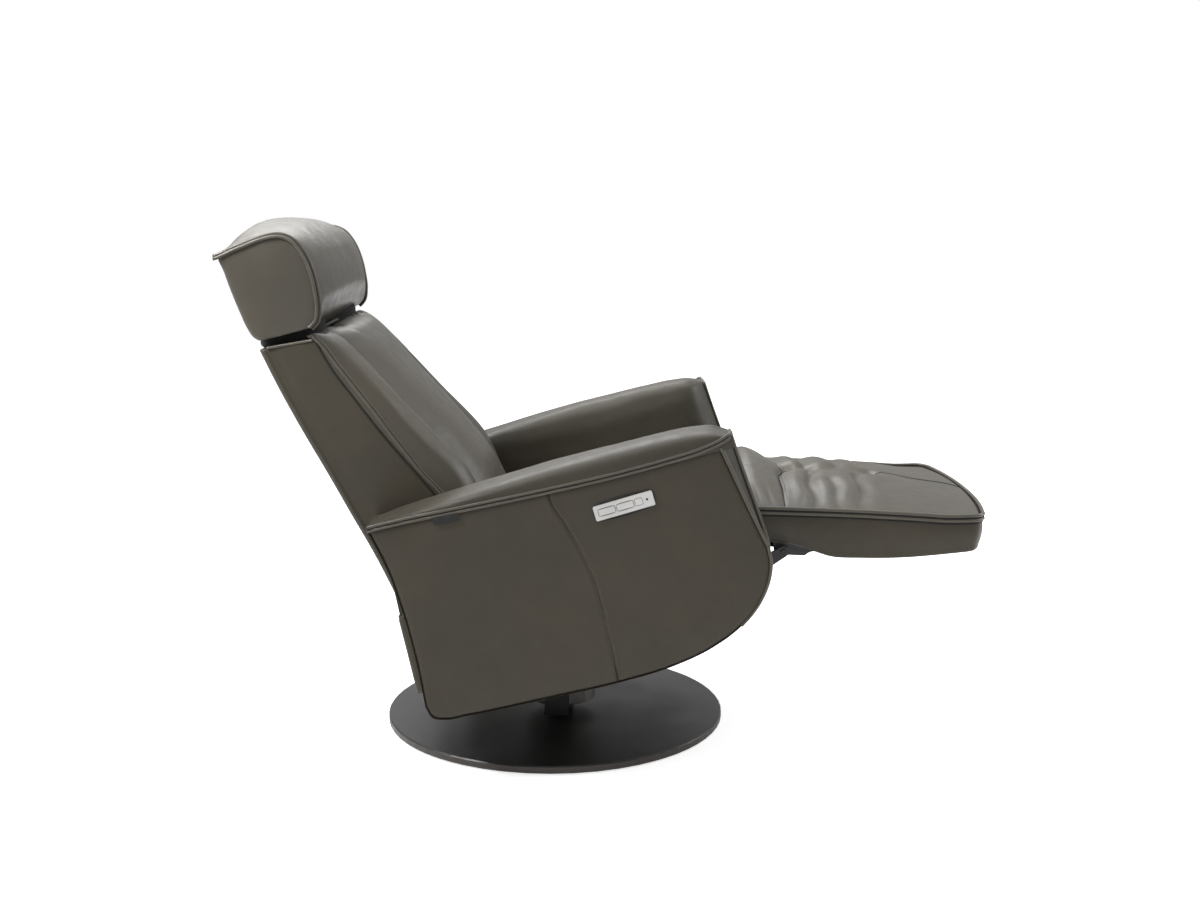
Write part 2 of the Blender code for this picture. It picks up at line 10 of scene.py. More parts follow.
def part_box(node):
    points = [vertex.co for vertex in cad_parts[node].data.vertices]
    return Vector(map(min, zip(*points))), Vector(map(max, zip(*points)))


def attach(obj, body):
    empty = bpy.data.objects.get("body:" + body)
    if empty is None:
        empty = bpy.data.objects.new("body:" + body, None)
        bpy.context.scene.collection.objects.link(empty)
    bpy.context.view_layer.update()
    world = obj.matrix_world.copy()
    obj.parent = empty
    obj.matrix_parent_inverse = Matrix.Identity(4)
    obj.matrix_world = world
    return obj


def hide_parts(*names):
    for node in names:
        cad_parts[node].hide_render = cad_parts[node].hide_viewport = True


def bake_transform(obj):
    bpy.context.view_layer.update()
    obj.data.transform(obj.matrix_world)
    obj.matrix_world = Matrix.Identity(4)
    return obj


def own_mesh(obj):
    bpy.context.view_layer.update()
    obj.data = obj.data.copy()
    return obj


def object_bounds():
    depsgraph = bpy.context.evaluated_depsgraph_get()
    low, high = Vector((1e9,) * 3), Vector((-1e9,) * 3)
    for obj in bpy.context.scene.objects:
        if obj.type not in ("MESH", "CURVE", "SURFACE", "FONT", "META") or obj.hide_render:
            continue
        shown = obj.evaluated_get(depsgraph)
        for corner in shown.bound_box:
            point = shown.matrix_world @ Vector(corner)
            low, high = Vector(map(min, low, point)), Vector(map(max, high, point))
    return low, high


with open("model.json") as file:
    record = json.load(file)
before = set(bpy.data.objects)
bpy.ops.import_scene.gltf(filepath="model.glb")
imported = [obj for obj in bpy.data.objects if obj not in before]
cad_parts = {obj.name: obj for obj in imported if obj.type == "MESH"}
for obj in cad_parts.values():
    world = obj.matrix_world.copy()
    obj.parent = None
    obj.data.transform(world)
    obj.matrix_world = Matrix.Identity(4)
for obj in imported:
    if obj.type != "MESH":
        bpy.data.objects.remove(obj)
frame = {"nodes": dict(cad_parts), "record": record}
cad_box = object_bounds()
NODES = frame["nodes"]
SIDES = (("R", -1), ("L", 1))

# Frames of the CAD, as in part.py: seat and back are upright frames, the board counts from its hinge
TILT_AXIS = (0.010, 0.150)
BACK_AXIS = (-0.130, 0.340)
BOARD_AXIS = (0.460, 0.300)
SEAT_TILT = math.radians(12.5)
BACK_RECLINE = math.radians(14.0)
BOARD_SLOPE = math.radians(14.5)

PANEL_Y = 0.3895
GUSSET_Y = 0.330
BACK_SIDE = 0.2655
VALLEY_Y = 0.1700
HEAD_HALF = 0.2680
BOARD_HALF = 0.2525
CORD = 0.0028


# ---------------------------------------------------------------- frames and curves

def turn(points, axis, angle):
    """Points (x, y, z) turned nose-up by angle about a Y axis through (x, z)."""
    points = np.asarray(points, float)
    x = points[..., 0] - axis[0]
    z = points[..., 2] - axis[1]
    out = points.copy()
    out[..., 0] = axis[0] + x * math.cos(angle) - z * math.sin(angle)
    out[..., 2] = axis[1] + x * math.sin(angle) + z * math.cos(angle)
    return out


def seat_frame(points):
    return turn(points, TILT_AXIS, SEAT_TILT)


def back_frame(points):
    return seat_frame(turn(points, BACK_AXIS, BACK_RECLINE))


def board_frame(points):
    points = np.asarray(points, float) + np.array([BOARD_AXIS[0], 0.0, BOARD_AXIS[1]])
    return seat_frame(turn(points, BOARD_AXIS, -BOARD_SLOPE))


def smooth(x, knots):
    """A smooth curve through (x, value) knots, level beyond its ends."""
    table = np.array(sorted(knots), float)
    xs, ys = table[:, 0], table[:, 1]
    slopes = np.gradient(ys, xs)
    x = np.clip(np.asarray(x, float), xs[0], xs[-1])
    i = np.clip(np.searchsorted(xs, x) - 1, 0, len(xs) - 2)
    h = xs[i + 1] - xs[i]
    t = (x - xs[i]) / h
    return (
        (2 * t**3 - 3 * t**2 + 1) * ys[i] + (t**3 - 2 * t**2 + t) * h * slopes[i]
        + (3 * t**2 - 2 * t**3) * ys[i + 1] + (t**3 - t**2) * h * slopes[i + 1]
    )


def curve(points, count, closed=False):
    """count points spread evenly along a smooth curve through the given ones."""
    points = np.asarray(points, float)
    if closed:
        points = np.vstack([points[-3:], points, points[:4]])
    steps = np.maximum(np.linalg.norm(np.diff(points, axis=0), axis=1), 1e-9)
    along = np.concatenate([[0.0], np.cumsum(steps)])
    first, last = (along[3], along[-4]) if closed else (along[0], along[-1])
    dense = np.linspace(first, last, 8 * count)
    line = np.stack([smooth(dense, list(zip(along, c))) for c in points.T], axis=1)
    lengths = np.concatenate([[0.0], np.cumsum(np.linalg.norm(np.diff(line, axis=0), axis=1))])
    wanted = np.linspace(0.0, lengths[-1], count + 1 if closed else count)
    if closed:
        wanted = wanted[:-1]
    return np.stack([np.interp(wanted, lengths, c) for c in line.T], axis=1)


def eased(count, ends=0.5):
    """0 to 1 in count steps, closer together at both ends."""
    t = np.linspace(0.0, 1.0, count)
    return (1 - ends) * t + ends * (0.5 - 0.5 * np.cos(math.pi * t))


def bell(x, width):
    return np.exp(-(np.asarray(x) / width) ** 2)


def distance_to(points, line):
    """How far each (x, z) point is from a polyline."""
    best = np.full(points.shape[:-1], 1e9)
    for a, b in zip(line, line[1:]):
        d = b - a
        t = np.clip(((points - a) @ d) / max(d @ d, 1e-12), 0, 1)
        gap = np.linalg.norm(points - a - t[..., None] * d, axis=-1)
        best = np.minimum(best, gap)
    return best


def ripple(points, scale, seed=0.0):
    """Smooth noise from -1 to 1 at each point, fixed by its place and seed."""
    flat = np.asarray(points, float).reshape(-1, 3) * scale + seed
    values = [noise.noise(Vector(p)) for p in flat]
    return np.array(values).reshape(points.shape[:-1])


def coons(bottom, top, left, right):
    """A grid between four joined edges."""
    u = np.linspace(0, 1, len(bottom))[:, None, None]
    v = np.linspace(0, 1, len(left))[None, :, None]
    ruled_v = (1 - v) * bottom[:, None] + v * top[:, None]
    ruled_u = (1 - u) * left[None] + u * right[None]
    corners = (
        (1 - u) * (1 - v) * bottom[0] + u * (1 - v) * bottom[-1]
        + (1 - u) * v * top[0] + u * v * top[-1]
    )
    return ruled_v + ruled_u - corners


# ---------------------------------------------------------------- pieces

def dress(obj, body, material, replaces=()):
    obj.data.materials.clear()
    obj.data.materials.append(material)
    if replaces:
        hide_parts(*replaces)
    if body:
        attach(obj, body)
    return obj


def tidy(obj, outward=True):
    bm = bmesh.new()
    bm.from_mesh(obj.data)
    bmesh.ops.remove_doubles(bm, verts=bm.verts, dist=0.00002)
    bmesh.ops.dissolve_degenerate(bm, edges=bm.edges, dist=0.00001)
    if outward:
        bmesh.ops.recalc_face_normals(bm, faces=bm.faces)
    bm.to_mesh(obj.data)
    bm.free()
    obj.data.shade_smooth()
    return obj


def surface(name, grid, wrap_u=False, wrap_v=False, outward=True):
    """A mesh object from a grid of points."""
    nu, nv = grid.shape[:2]
    index = np.arange(nu * nv).reshape(nu, nv)
    if wrap_u:
        index = np.vstack([index, index[:1]])
    if wrap_v:
        index = np.hstack([index, index[:, :1]])
    quads = np.stack([index[:-1, :-1], index[1:, :-1], index[1:, 1:], index[:-1, 1:]], axis=-1)
    mesh = bpy.data.meshes.new(name)
    mesh.from_pydata(grid.reshape(-1, 3).tolist(), [], quads.reshape(-1, 4).tolist())
    obj = bpy.data.objects.new(name, mesh)
    bpy.context.scene.collection.objects.link(obj)
    return tidy(obj, outward)


def capped(grid, rings=3):
    """The loft with both end rings drawn in to their middles."""
    extra_low = [grid[0].mean(0) + (grid[0] - grid[0].mean(0)) * k / rings for k in range(rings)]
    extra_high = [
        grid[-1].mean(0) + (grid[-1] - grid[-1].mean(0)) * k / rings for k in range(rings - 1, -1, -1)
    ]
    return np.concatenate([np.array(extra_low), grid, np.array(extra_high)])


def cord(name, path, body, material, radius=CORD, closed=False):
    data = bpy.data.curves.new(name, "CURVE")
    data.dimensions = "3D"
    data.bevel_depth = radius
    data.bevel_resolution = 3
    data.use_fill_caps = True
    spline = data.splines.new("POLY")
    spline.points.add(len(path) - 1)
    spline.points.foreach_set("co", np.hstack([path, np.ones((len(path), 1))]).ravel())
    spline.use_cyclic_u = closed
    spline.use_smooth = True
    obj = bpy.data.objects.new(name, data)
    bpy.context.scene.collection.objects.link(obj)
    return dress(obj, body, material)


def double_cord(name, path, across, body, radius=CORD, closed=False, gap=1.25):
    """Two leather cords side by side, with a thin near-black cord between them as painted shadow in the
    seam.
    """
    across = np.broadcast_to(np.asarray(across, float), path.shape)
    across = across / np.linalg.norm(across, axis=1)[:, None]
    cord(name + "_a", path + across * radius * gap, body, LEATHER_CORD_LIT, radius, closed)
    cord(name + "_b", path - across * radius * gap, body, LEATHER_CORD_LIT, radius, closed)
    cord(name + "_seam", path, body, SEAM_SHADE, radius * 0.75, closed)


def stitches(name, path, body, pitch=0.0065, length=0.0040, radius=0.00055):
    """A row of separate thread stitches along a path, each a small pointed barrel."""
    path = np.asarray(path, float)
    lengths = np.concatenate([[0.0], np.cumsum(np.linalg.norm(np.diff(path, axis=0), axis=1))])
    starts = np.arange(pitch, lengths[-1] - pitch, pitch)
    verts, faces = [], []
    for start in starts:
        ends = [np.array([np.interp(start + k * length, lengths, c) for c in path.T]) for k in (0.0, 1.0)]
        along = Vector(ends[1] - ends[0]).normalized()
        side = along.orthogonal().normalized()
        other = along.cross(side)
        base = len(verts)
        for k, size in ((0.0, 0.35), (0.25, 1.0), (0.75, 1.0), (1.0, 0.35)):
            centre = Vector(ends[0] + (ends[1] - ends[0]) * k)
            for i in range(6):
                a = math.tau * i / 6
                verts.append(centre + (side * math.cos(a) + other * math.sin(a)) * radius * size)
        for ring in range(3):
            for i in range(6):
                a, b = base + ring * 6 + i, base + ring * 6 + (i + 1) % 6
                faces.append((a, b, b + 6, a + 6))
        faces.append(tuple(base + i for i in range(5, -1, -1)))
        faces.append(tuple(base + 18 + i for i in range(6)))
    mesh = bpy.data.meshes.new(name)
    mesh.from_pydata([tuple(v) for v in verts], [], faces)
    obj = bpy.data.objects.new(name, mesh)
    bpy.context.scene.collection.objects.link(obj)
    return dress(tidy(obj), body, THREAD)


def plump(obj, cap, free=None, voxel=0.005, even=5, pressure=4.0, frames=20):
    """Swells a closed soft mesh by a short cloth simulation: no point moves by more than cap
    times free, which takes the upright points to shares from 0 at a sewn edge to 1."""
    bpy.ops.object.select_all(action="DESELECT")
    bpy.context.view_layer.objects.active = obj
    obj.select_set(True)
    remesh = obj.modifiers.new("voxels", "REMESH")
    remesh.mode = "VOXEL"
    remesh.voxel_size = voxel
    bpy.ops.object.modifier_apply(modifier="voxels")
    count = len(obj.data.vertices)
    rest = np.empty(count * 3)
    obj.data.vertices.foreach_get("co", rest)
    rest = rest.reshape(-1, 3)
    normals = np.empty(count * 3)
    obj.data.vertices.foreach_get("normal", normals)
    share = np.ones(count) if free is None else np.clip(free(rest), 0, 1)
    limit = (cap * share)[:, None]
    rest = rest - 0.8 * limit * normals.reshape(-1, 3)
    obj.data.vertices.foreach_set("co", rest.ravel())
    cloth = obj.modifiers.new("cloth", "CLOTH")
    cloth.settings.quality = 5
    cloth.settings.use_pressure = True
    cloth.settings.uniform_pressure_force = pressure
    cloth.settings.tension_stiffness = 25
    cloth.settings.compression_stiffness = 25
    cloth.settings.bending_stiffness = 1.0
    cloth.settings.effector_weights.gravity = 0.0
    scene = bpy.context.scene
    for step in range(1, frames + 1):
        scene.frame_set(step)
    graph = bpy.context.evaluated_depsgraph_get()
    made = obj.evaluated_get(graph).to_mesh()
    moved = np.empty(count * 3)
    made.vertices.foreach_get("co", moved)
    obj.evaluated_get(graph).to_mesh_clear()
    shift = moved.reshape(-1, 3) - rest
    size = np.linalg.norm(shift, axis=1)[:, None]
    shift = shift * np.minimum(1.0, limit / np.maximum(size, 1e-9))
    obj.modifiers.remove(cloth)
    scene.frame_set(1)
    obj.data.vertices.foreach_set("co", (rest + shift).ravel())
    soften = obj.modifiers.new("even", "SMOOTH")
    soften.factor = 0.5
    soften.iterations = even
    bpy.ops.object.modifier_apply(modifier="even")
    divide = obj.modifiers.new("finer", "SUBSURF")
    divide.levels = 1
    divide.render_levels = 1
    bpy.ops.object.modifier_apply(modifier="finer")
    obj.data.shade_smooth()
    return obj


def settle(obj, points, lift):
    """The points moved to the nearest place on the object's surface, then out by lift."""
    out = []
    for point in points:
        found = obj.closest_point_on_mesh(Vector(point))
        out.append(found[1] + found[2] * lift if found[0] else Vector(point))
    return np.array(out)


def step_up(x, width):
    t = np.clip(np.asarray(x) / width, 0, 1)
    return t * t * (3 - 2 * t)


# ---------------------------------------------------------------- materials

def new_material(name, slot=None):
    mat = bpy.data.materials.new(name)
    mat.use_nodes = True
    if slot:
        mat["slot"] = slot
    tree = mat.node_tree
    return mat, tree, tree.nodes["Principled BSDF"]


def add(tree, kind, **settings):
    node = tree.nodes.new(kind)
    for key, value in settings.items():
        if key in node.inputs:
            node.inputs[key].default_value = value
        else:
            setattr(node, key, value)
    return node


def noise_at(tree, place, scale, detail=3.0, roughness=0.5):
    node = add(tree, "ShaderNodeTexNoise", Scale=scale, Detail=detail, Roughness=roughness)
    tree.links.new(place, node.inputs["Vector"])
    return node.outputs["Fac"]


def ramp(tree, value, stops):
    node = tree.nodes.new("ShaderNodeValToRGB")
    marks = node.color_ramp.elements
    while len(marks) < len(stops):
        marks.new(0.5)
    for mark, (at, colour) in zip(marks, stops):
        mark.position = at
        mark.color = (*colour, 1.0) if len(colour) == 3 else colour
    tree.links.new(value, node.inputs["Fac"])
    return node.outputs["Color"]


def mixed(tree, factor, first, second, blend="MIX"):
    node = tree.nodes.new("ShaderNodeMix")
    node.data_type = "RGBA"
    node.blend_type = blend
    for socket, value in ((node.inputs["Factor"], factor), (node.inputs[6], first),
        (node.inputs[7], second)):
        if isinstance(value, bpy.types.NodeSocket):
            tree.links.new(value, socket)
        elif isinstance(value, float):
            socket.default_value = value
        else:
            socket.default_value = (*value, 1.0)
    return node.outputs[2]


def math_node(tree, operation, first, second):
    node = tree.nodes.new("ShaderNodeMath")
    node.operation = operation
    for socket, value in zip(node.inputs, (first, second)):
        if isinstance(value, bpy.types.NodeSocket):
            tree.links.new(value, socket)
        else:
            socket.default_value = value
    return node.outputs["Value"]


def ranged(tree, value, low, high, start=0.0, end=1.0):
    node = add(tree, "ShaderNodeMapRange")
    node.inputs["From Min"].default_value = start
    node.inputs["From Max"].default_value = end
    node.inputs["To Min"].default_value = low
    node.inputs["To Max"].default_value = high
    tree.links.new(value, node.inputs["Value"])
    return node.outputs["Result"]


def bumped(tree, shader, layers):
    """Bump layers, each (height, strength, distance), one on the other."""
    normal = None
    for height, strength, distance in layers:
        node = add(tree, "ShaderNodeBump", Strength=strength, Distance=distance)
        tree.links.new(height, node.inputs["Height"])
        if normal:
            tree.links.new(normal, node.inputs["Normal"])
        normal = node.outputs["Normal"]
    tree.links.new(normal, shader.inputs["Normal"])


def object_place(tree):
    return tree.nodes.new("ShaderNodeTexCoord").outputs["Object"]


def make_leather(name, tone=1.0, grain=1.0, roughness=0.40, shine=0.40):
    """Pigmented cow leather: uneven dye, pebbled grain, fine creases and paler worn ridges."""
    mat, tree, shader = new_material(name, "leather")
    place = object_place(tree)
    broad = noise_at(tree, place, 5.5, 4.0, 0.55)
    patches = noise_at(tree, place, 19.0, 5.0, 0.6)
    warm = tuple(tone * c for c in (0.0610, 0.0515, 0.0350))
    cool = tuple(tone * c for c in (0.0545, 0.0475, 0.0345))
    colour = mixed(tree, ranged(tree, broad, 0.0, 1.0, 0.36, 0.64), cool, warm)
    shade = ramp(tree, patches, [(0.30, (0.95, 0.95, 0.95)), (0.70, (1.05, 1.05, 1.05))])
    colour = mixed(tree, 1.0, colour, shade, "MULTIPLY")
    cells = add(tree, "ShaderNodeTexVoronoi", Scale=430.0, Randomness=1.0)
    cells.feature = "DISTANCE_TO_EDGE"
    warp = add(tree, "ShaderNodeTexNoise", Scale=210.0, Detail=2.0)
    tree.links.new(place, warp.inputs["Vector"])
    bent = tree.nodes.new("ShaderNodeVectorMath")
    bent.operation = "MULTIPLY_ADD"
    tree.links.new(warp.outputs["Color"], bent.inputs[0])
    bent.inputs[1].default_value = (0.0022, 0.0022, 0.0022)
    tree.links.new(place, bent.inputs[2])
    tree.links.new(bent.outputs["Vector"], cells.inputs["Vector"])
    pebbles = ranged(tree, cells.outputs["Distance"], 0.0, 1.0, 0.0, 0.22)
    pores = ramp(tree, pebbles, [(0.0, (0.82, 0.82, 0.82)), (0.5, (1.0, 1.0, 1.0))])
    colour = mixed(tree, 0.6, colour, pores, "MULTIPLY")
    edges = tree.nodes.new("ShaderNodeNewGeometry").outputs["Pointiness"]
    worn = ranged(tree, edges, 0.0, 1.0, 0.52, 0.62)
    colour = mixed(tree, math_node(tree, "MULTIPLY", worn, 0.35), colour,
        tuple(tone * c for c in (0.10, 0.093, 0.08)))
    tree.links.new(colour, shader.inputs["Base Color"])
    gloss = noise_at(tree, place, 34.0, 4.0, 0.6)
    tree.links.new(ranged(tree, gloss, roughness - 0.06, roughness + 0.09, 0.3, 0.7),
        shader.inputs["Roughness"])
    creases = add(tree, "ShaderNodeTexNoise", Scale=58.0, Detail=6.0, Roughness=0.62, Distortion=0.8)
    tree.links.new(place, creases.inputs["Vector"])
    bumped(tree, shader, [
        (creases.outputs["Fac"], 0.16 * grain, 0.0008),
        (pebbles, 0.28 * grain, 0.00035),
    ])
    shader.inputs["Specular IOR Level"].default_value = shine
    shader.inputs["Sheen Weight"].default_value = 0.04
    shader.inputs["Sheen Roughness"].default_value = 0.45
    shader.inputs["Coat Weight"].default_value = 0.15 * shine
    shader.inputs["Coat Roughness"].default_value = 0.30
    return mat


def make_simple(name, slot, colour, spread, roughness, metallic=0.0, scale=160.0, bump=0.08, stretch=None):
    """A finish with uneven colour, roughness and bump; stretch draws them out as brushing."""
    mat, tree, shader = new_material(name, slot)
    place = object_place(tree)
    fine_place = place
    if stretch:
        mapping = add(tree, "ShaderNodeMapping", Scale=stretch)
        tree.links.new(place, mapping.inputs["Vector"])
        fine_place = mapping.outputs["Vector"]
    fine = noise_at(tree, fine_place, scale, 4.0, 0.6)
    broad = noise_at(tree, place, 11.0, 3.0, 0.5)
    dark = tuple(max(0.0, c - spread) for c in colour)
    light = tuple(c + spread for c in colour)
    tone = math_node(tree, "MULTIPLY_ADD", fine, 0.6)
    tree.links.new(broad, tone.node.inputs[2])
    tree.links.new(mixed(tree, ranged(tree, tone, 0.0, 1.0, 0.55, 1.05), dark, light),
        shader.inputs["Base Color"])
    tree.links.new(ranged(tree, fine, roughness - 0.07, roughness + 0.07, 0.3, 0.7),
        shader.inputs["Roughness"])
    shader.inputs["Metallic"].default_value = metallic
    bumped(tree, shader, [(fine, bump, 0.0006)])
    return mat


def make_disc():
    """Black powder-coated steel: fine texture, a little dust, and paler, browner faces where the surface
    turns sideways.
    """
    mat, tree, shader = new_material("disc_black", "black_steel")
    place = object_place(tree)
    speckle = noise_at(tree, place, 520.0, 2.0, 0.5)
    cloud = noise_at(tree, place, 7.0, 4.0, 0.6)
    face = ramp(tree, cloud, [(0.3, (0.012, 0.012, 0.012)), (0.75, (0.020, 0.019, 0.018))])
    normal = tree.nodes.new("ShaderNodeNewGeometry").outputs["Normal"]
    parts = tree.nodes.new("ShaderNodeSeparateXYZ")
    tree.links.new(normal, parts.inputs["Vector"])
    # Faces that turn sideways get a paler, browner colour.
    rim = ranged(tree, parts.outputs["Z"], 1.0, 0.0, 0.15, 0.9)
    tree.links.new(mixed(tree, rim, face, (0.040, 0.033, 0.028)), shader.inputs["Base Color"])
    tree.links.new(ranged(tree, cloud, 0.30, 0.42, 0.3, 0.7), shader.inputs["Roughness"])
    shader.inputs["Specular IOR Level"].default_value = 0.55
    bumped(tree, shader, [(speckle, 0.10, 0.0004)])
    return mat


def make_wood():
    mat, tree, shader = new_material("beech_board", "beech")
    place = object_place(tree)
    mapping = add(tree, "ShaderNodeMapping", Scale=(0.12, 1.0, 1.0))
    tree.links.new(place, mapping.inputs["Vector"])
    rings = add(tree, "ShaderNodeTexWave", Scale=26.0, Distortion=7.0, Detail=3.0)
    tree.links.new(mapping.outputs["Vector"], rings.inputs["Vector"])
    flecks = noise_at(tree, mapping.outputs["Vector"], 620.0, 3.0, 0.7)
    colour = ramp(tree, rings.outputs["Fac"], [(0.0, (0.44, 0.27, 0.14)), (1.0, (0.62, 0.43, 0.26))])
    dots = ramp(tree, flecks, [(0.42, (0.80, 0.74, 0.68)), (0.55, (1.0, 1.0, 1.0))])
    tree.links.new(mixed(tree, 1.0, colour, dots, "MULTIPLY"), shader.inputs["Base Color"])
    tree.links.new(ranged(tree, flecks, 0.5, 0.66), shader.inputs["Roughness"])
    bumped(tree, shader, [(flecks, 0.12, 0.0004)])
    return mat


def make_weave(name, slot, colour, threads=900.0):
    """A plain woven cloth from two crossed wave patterns."""
    mat, tree, shader = new_material(name, slot)
    place = object_place(tree)
    waves = []
    for direction in ("X", "Z"):
        node = add(tree, "ShaderNodeTexWave", Scale=threads / 6.28, Distortion=0.6, Detail=1.0)
        node.bands_direction = direction
        tree.links.new(place, node.inputs["Vector"])
        waves.append(node.outputs["Fac"])
    weave = math_node(tree, "MULTIPLY", waves[0], waves[1])
    light = tuple(c * 1.8 for c in colour)
    tree.links.new(mixed(tree, weave, colour, light), shader.inputs["Base Color"])
    shader.inputs["Roughness"].default_value = 0.88
    shader.inputs["Sheen Weight"].default_value = 0.25
    bumped(tree, shader, [(weave, 0.35, 0.0005)])
    return mat


# The same leather in five copies. The cushion copy is the reference. The panel copy is slightly darker, and
# the arm and gusset copies are much darker, as painted shade. The cord copy is lighter, as painted
# highlight.
LEATHER = make_leather("leather_panels_shaded", 0.86, 0.8, 0.45, 0.28)
LEATHER_SOFT = make_leather("leather_cushions", 0.92, 1.0, 0.38, 0.55)
LEATHER_CORD_LIT = make_leather("leather_cords_lit", 1.15, 0.7, 0.36, 0.50)
LEATHER_SHADED = make_leather("leather_gussets_shaded", 0.50, 0.9, 0.50, 0.25)
LEATHER_ARM_SHADED = make_leather("leather_arms_shaded", 0.72, 0.9, 0.43, 0.34)
# Near-black for cords laid in seams, creases and grooves: painted shadow.
SEAM_SHADE = make_simple("seam_shadow", "leather", (0.008, 0.008, 0.007), 0.003, 0.85)
THREAD = make_simple("stitch_thread", "leather", (0.050, 0.047, 0.042), 0.012, 0.55, scale=900.0, bump=0.4)
# A black line round the control plate's edge: painted shadow.
PLATE_SHADOW = make_simple("plate_edge_shadow", "black_plastic", (0.010, 0.010, 0.010), 0.003, 0.6, 0.0, 900.0, 0.1)
# Darker grey for the lines in the grooves round the rockers and the button: painted shade in the gaps.
GROOVE_SHADE = make_simple("panel_groove_shade", "silver_plastic", (0.17, 0.167, 0.16), 0.02, 0.45, 0.1, 900.0, 0.05)
DISC = make_disc()
BEECH = make_wood()
BLACK_STEEL = make_simple("black_powder_coat", "black_steel", (0.014, 0.014, 0.014), 0.004, 0.42,
    0.0, 700.0, 0.15)
GREY_STEEL = make_simple("grey_cast_steel", "grey_steel", (0.200, 0.195, 0.185), 0.05, 0.36, 0.85,
    240.0, 0.10)
BARE_STEEL = make_simple(
    "bright_steel", "bare_steel", (0.52, 0.52, 0.51), 0.08, 0.28, 1.0, 90.0, 0.10, stretch=(1.0, 14.0, 1.0)
)
BLACK_PLASTIC = make_simple("black_moulded", "black_plastic", (0.016, 0.016, 0.017), 0.004, 0.48,
    0.0, 900.0, 0.22)
SILVER = make_simple("satin_silver", "silver_plastic", (0.56, 0.555, 0.54), 0.04, 0.34, 0.35, 1300.0, 0.06)
FELT = make_simple("felt_pad", "felt", (0.03, 0.03, 0.03), 0.012, 0.95, 0.0, 1100.0, 0.7)
FABRIC = make_weave("black_cloth", "black_fabric", (0.010, 0.010, 0.010))
BLACK_CLOTH = make_simple("black_stretch", "black_fabric", (0.006, 0.006, 0.006), 0.003, 0.95, 0.0,
    1500.0, 0.3)
BY_SLOT = {
    "leather": LEATHER, "beech": BEECH, "black_steel": BLACK_STEEL, "grey_steel": GREY_STEEL,
    "bare_steel": BARE_STEEL, "black_plastic": BLACK_PLASTIC, "silver_plastic": SILVER, "felt": FELT,
    "black_fabric": FABRIC,
}


def dress_cad():
    """Every CAD node gets its slot's finish; the disc and the cloth-lined side boards get their own."""
    own = {"base_disc": DISC, "seat_side_board_R": BLACK_CLOTH, "seat_side_board_L": BLACK_CLOTH}
    for entry in frame["record"]["subparts"]:
        name = entry["node"]
        NODES[name].data.materials.clear()
        NODES[name].data.materials.append(own.get(name, BY_SLOT[entry["material_slot"]]))


# ---------------------------------------------------------------- arms and side panels

PANEL_TOP = [(-0.232, 0.5225), (-0.10, 0.5225), (0.190, 0.5225), (0.290, 0.5265), (0.384, 0.5310)]
PANEL_FRONT = [(0.428, 0.347), (0.4185, 0.385), (0.405, 0.441), (0.3945, 0.487), (0.384, 0.531)]
PANEL_BOTTOM = [
    (-0.209, 0.196), (-0.202, 0.174), (-0.180, 0.1655), (-0.142, 0.1645), (-0.004, 0.1645), (0.130, 0.1663),
    (0.221, 0.1740), (0.296, 0.1915), (0.354, 0.2185), (0.397, 0.256), (0.4185, 0.290),
    (0.4275, 0.318), (0.428, 0.347),
]
PANEL_REAR = [(-0.209, 0.196), (-0.2055, 0.270), (-0.2055, 0.330), (-0.2085, 0.389),
    (-0.216, 0.455), (-0.232, 0.5225)]
PANEL_SEAM = [(0.081, 0.520), (0.083, 0.504), (0.099, 0.459), (0.123, 0.374), (0.129, 0.300),
    (0.129, 0.227), (0.127, 0.168)]
ARM_PIPING = [
    (-0.236, 0.5235), (-0.173, 0.5250), (-0.086, 0.5240), (0.087, 0.5230), (0.200, 0.5245), (0.290, 0.5290),
    (0.350, 0.5345), (0.385, 0.5420), (0.402, 0.5480),
]
CROWN = [
    (-0.236, 0.5200), (-0.215, 0.5265), (-0.177, 0.5340), (-0.114, 0.5408), (-0.018, 0.5500),
    (0.093, 0.5590),
    (0.202, 0.5632), (0.290, 0.5655), (0.345, 0.5645), (0.380, 0.5588), (0.402, 0.5480),
]
FRONT_X = [(0.335, 0.4330), (0.401, 0.4250), (0.458, 0.4170), (0.504, 0.4110), (0.535, 0.4075),
    (0.548, 0.4060), (0.556, 0.4020)]


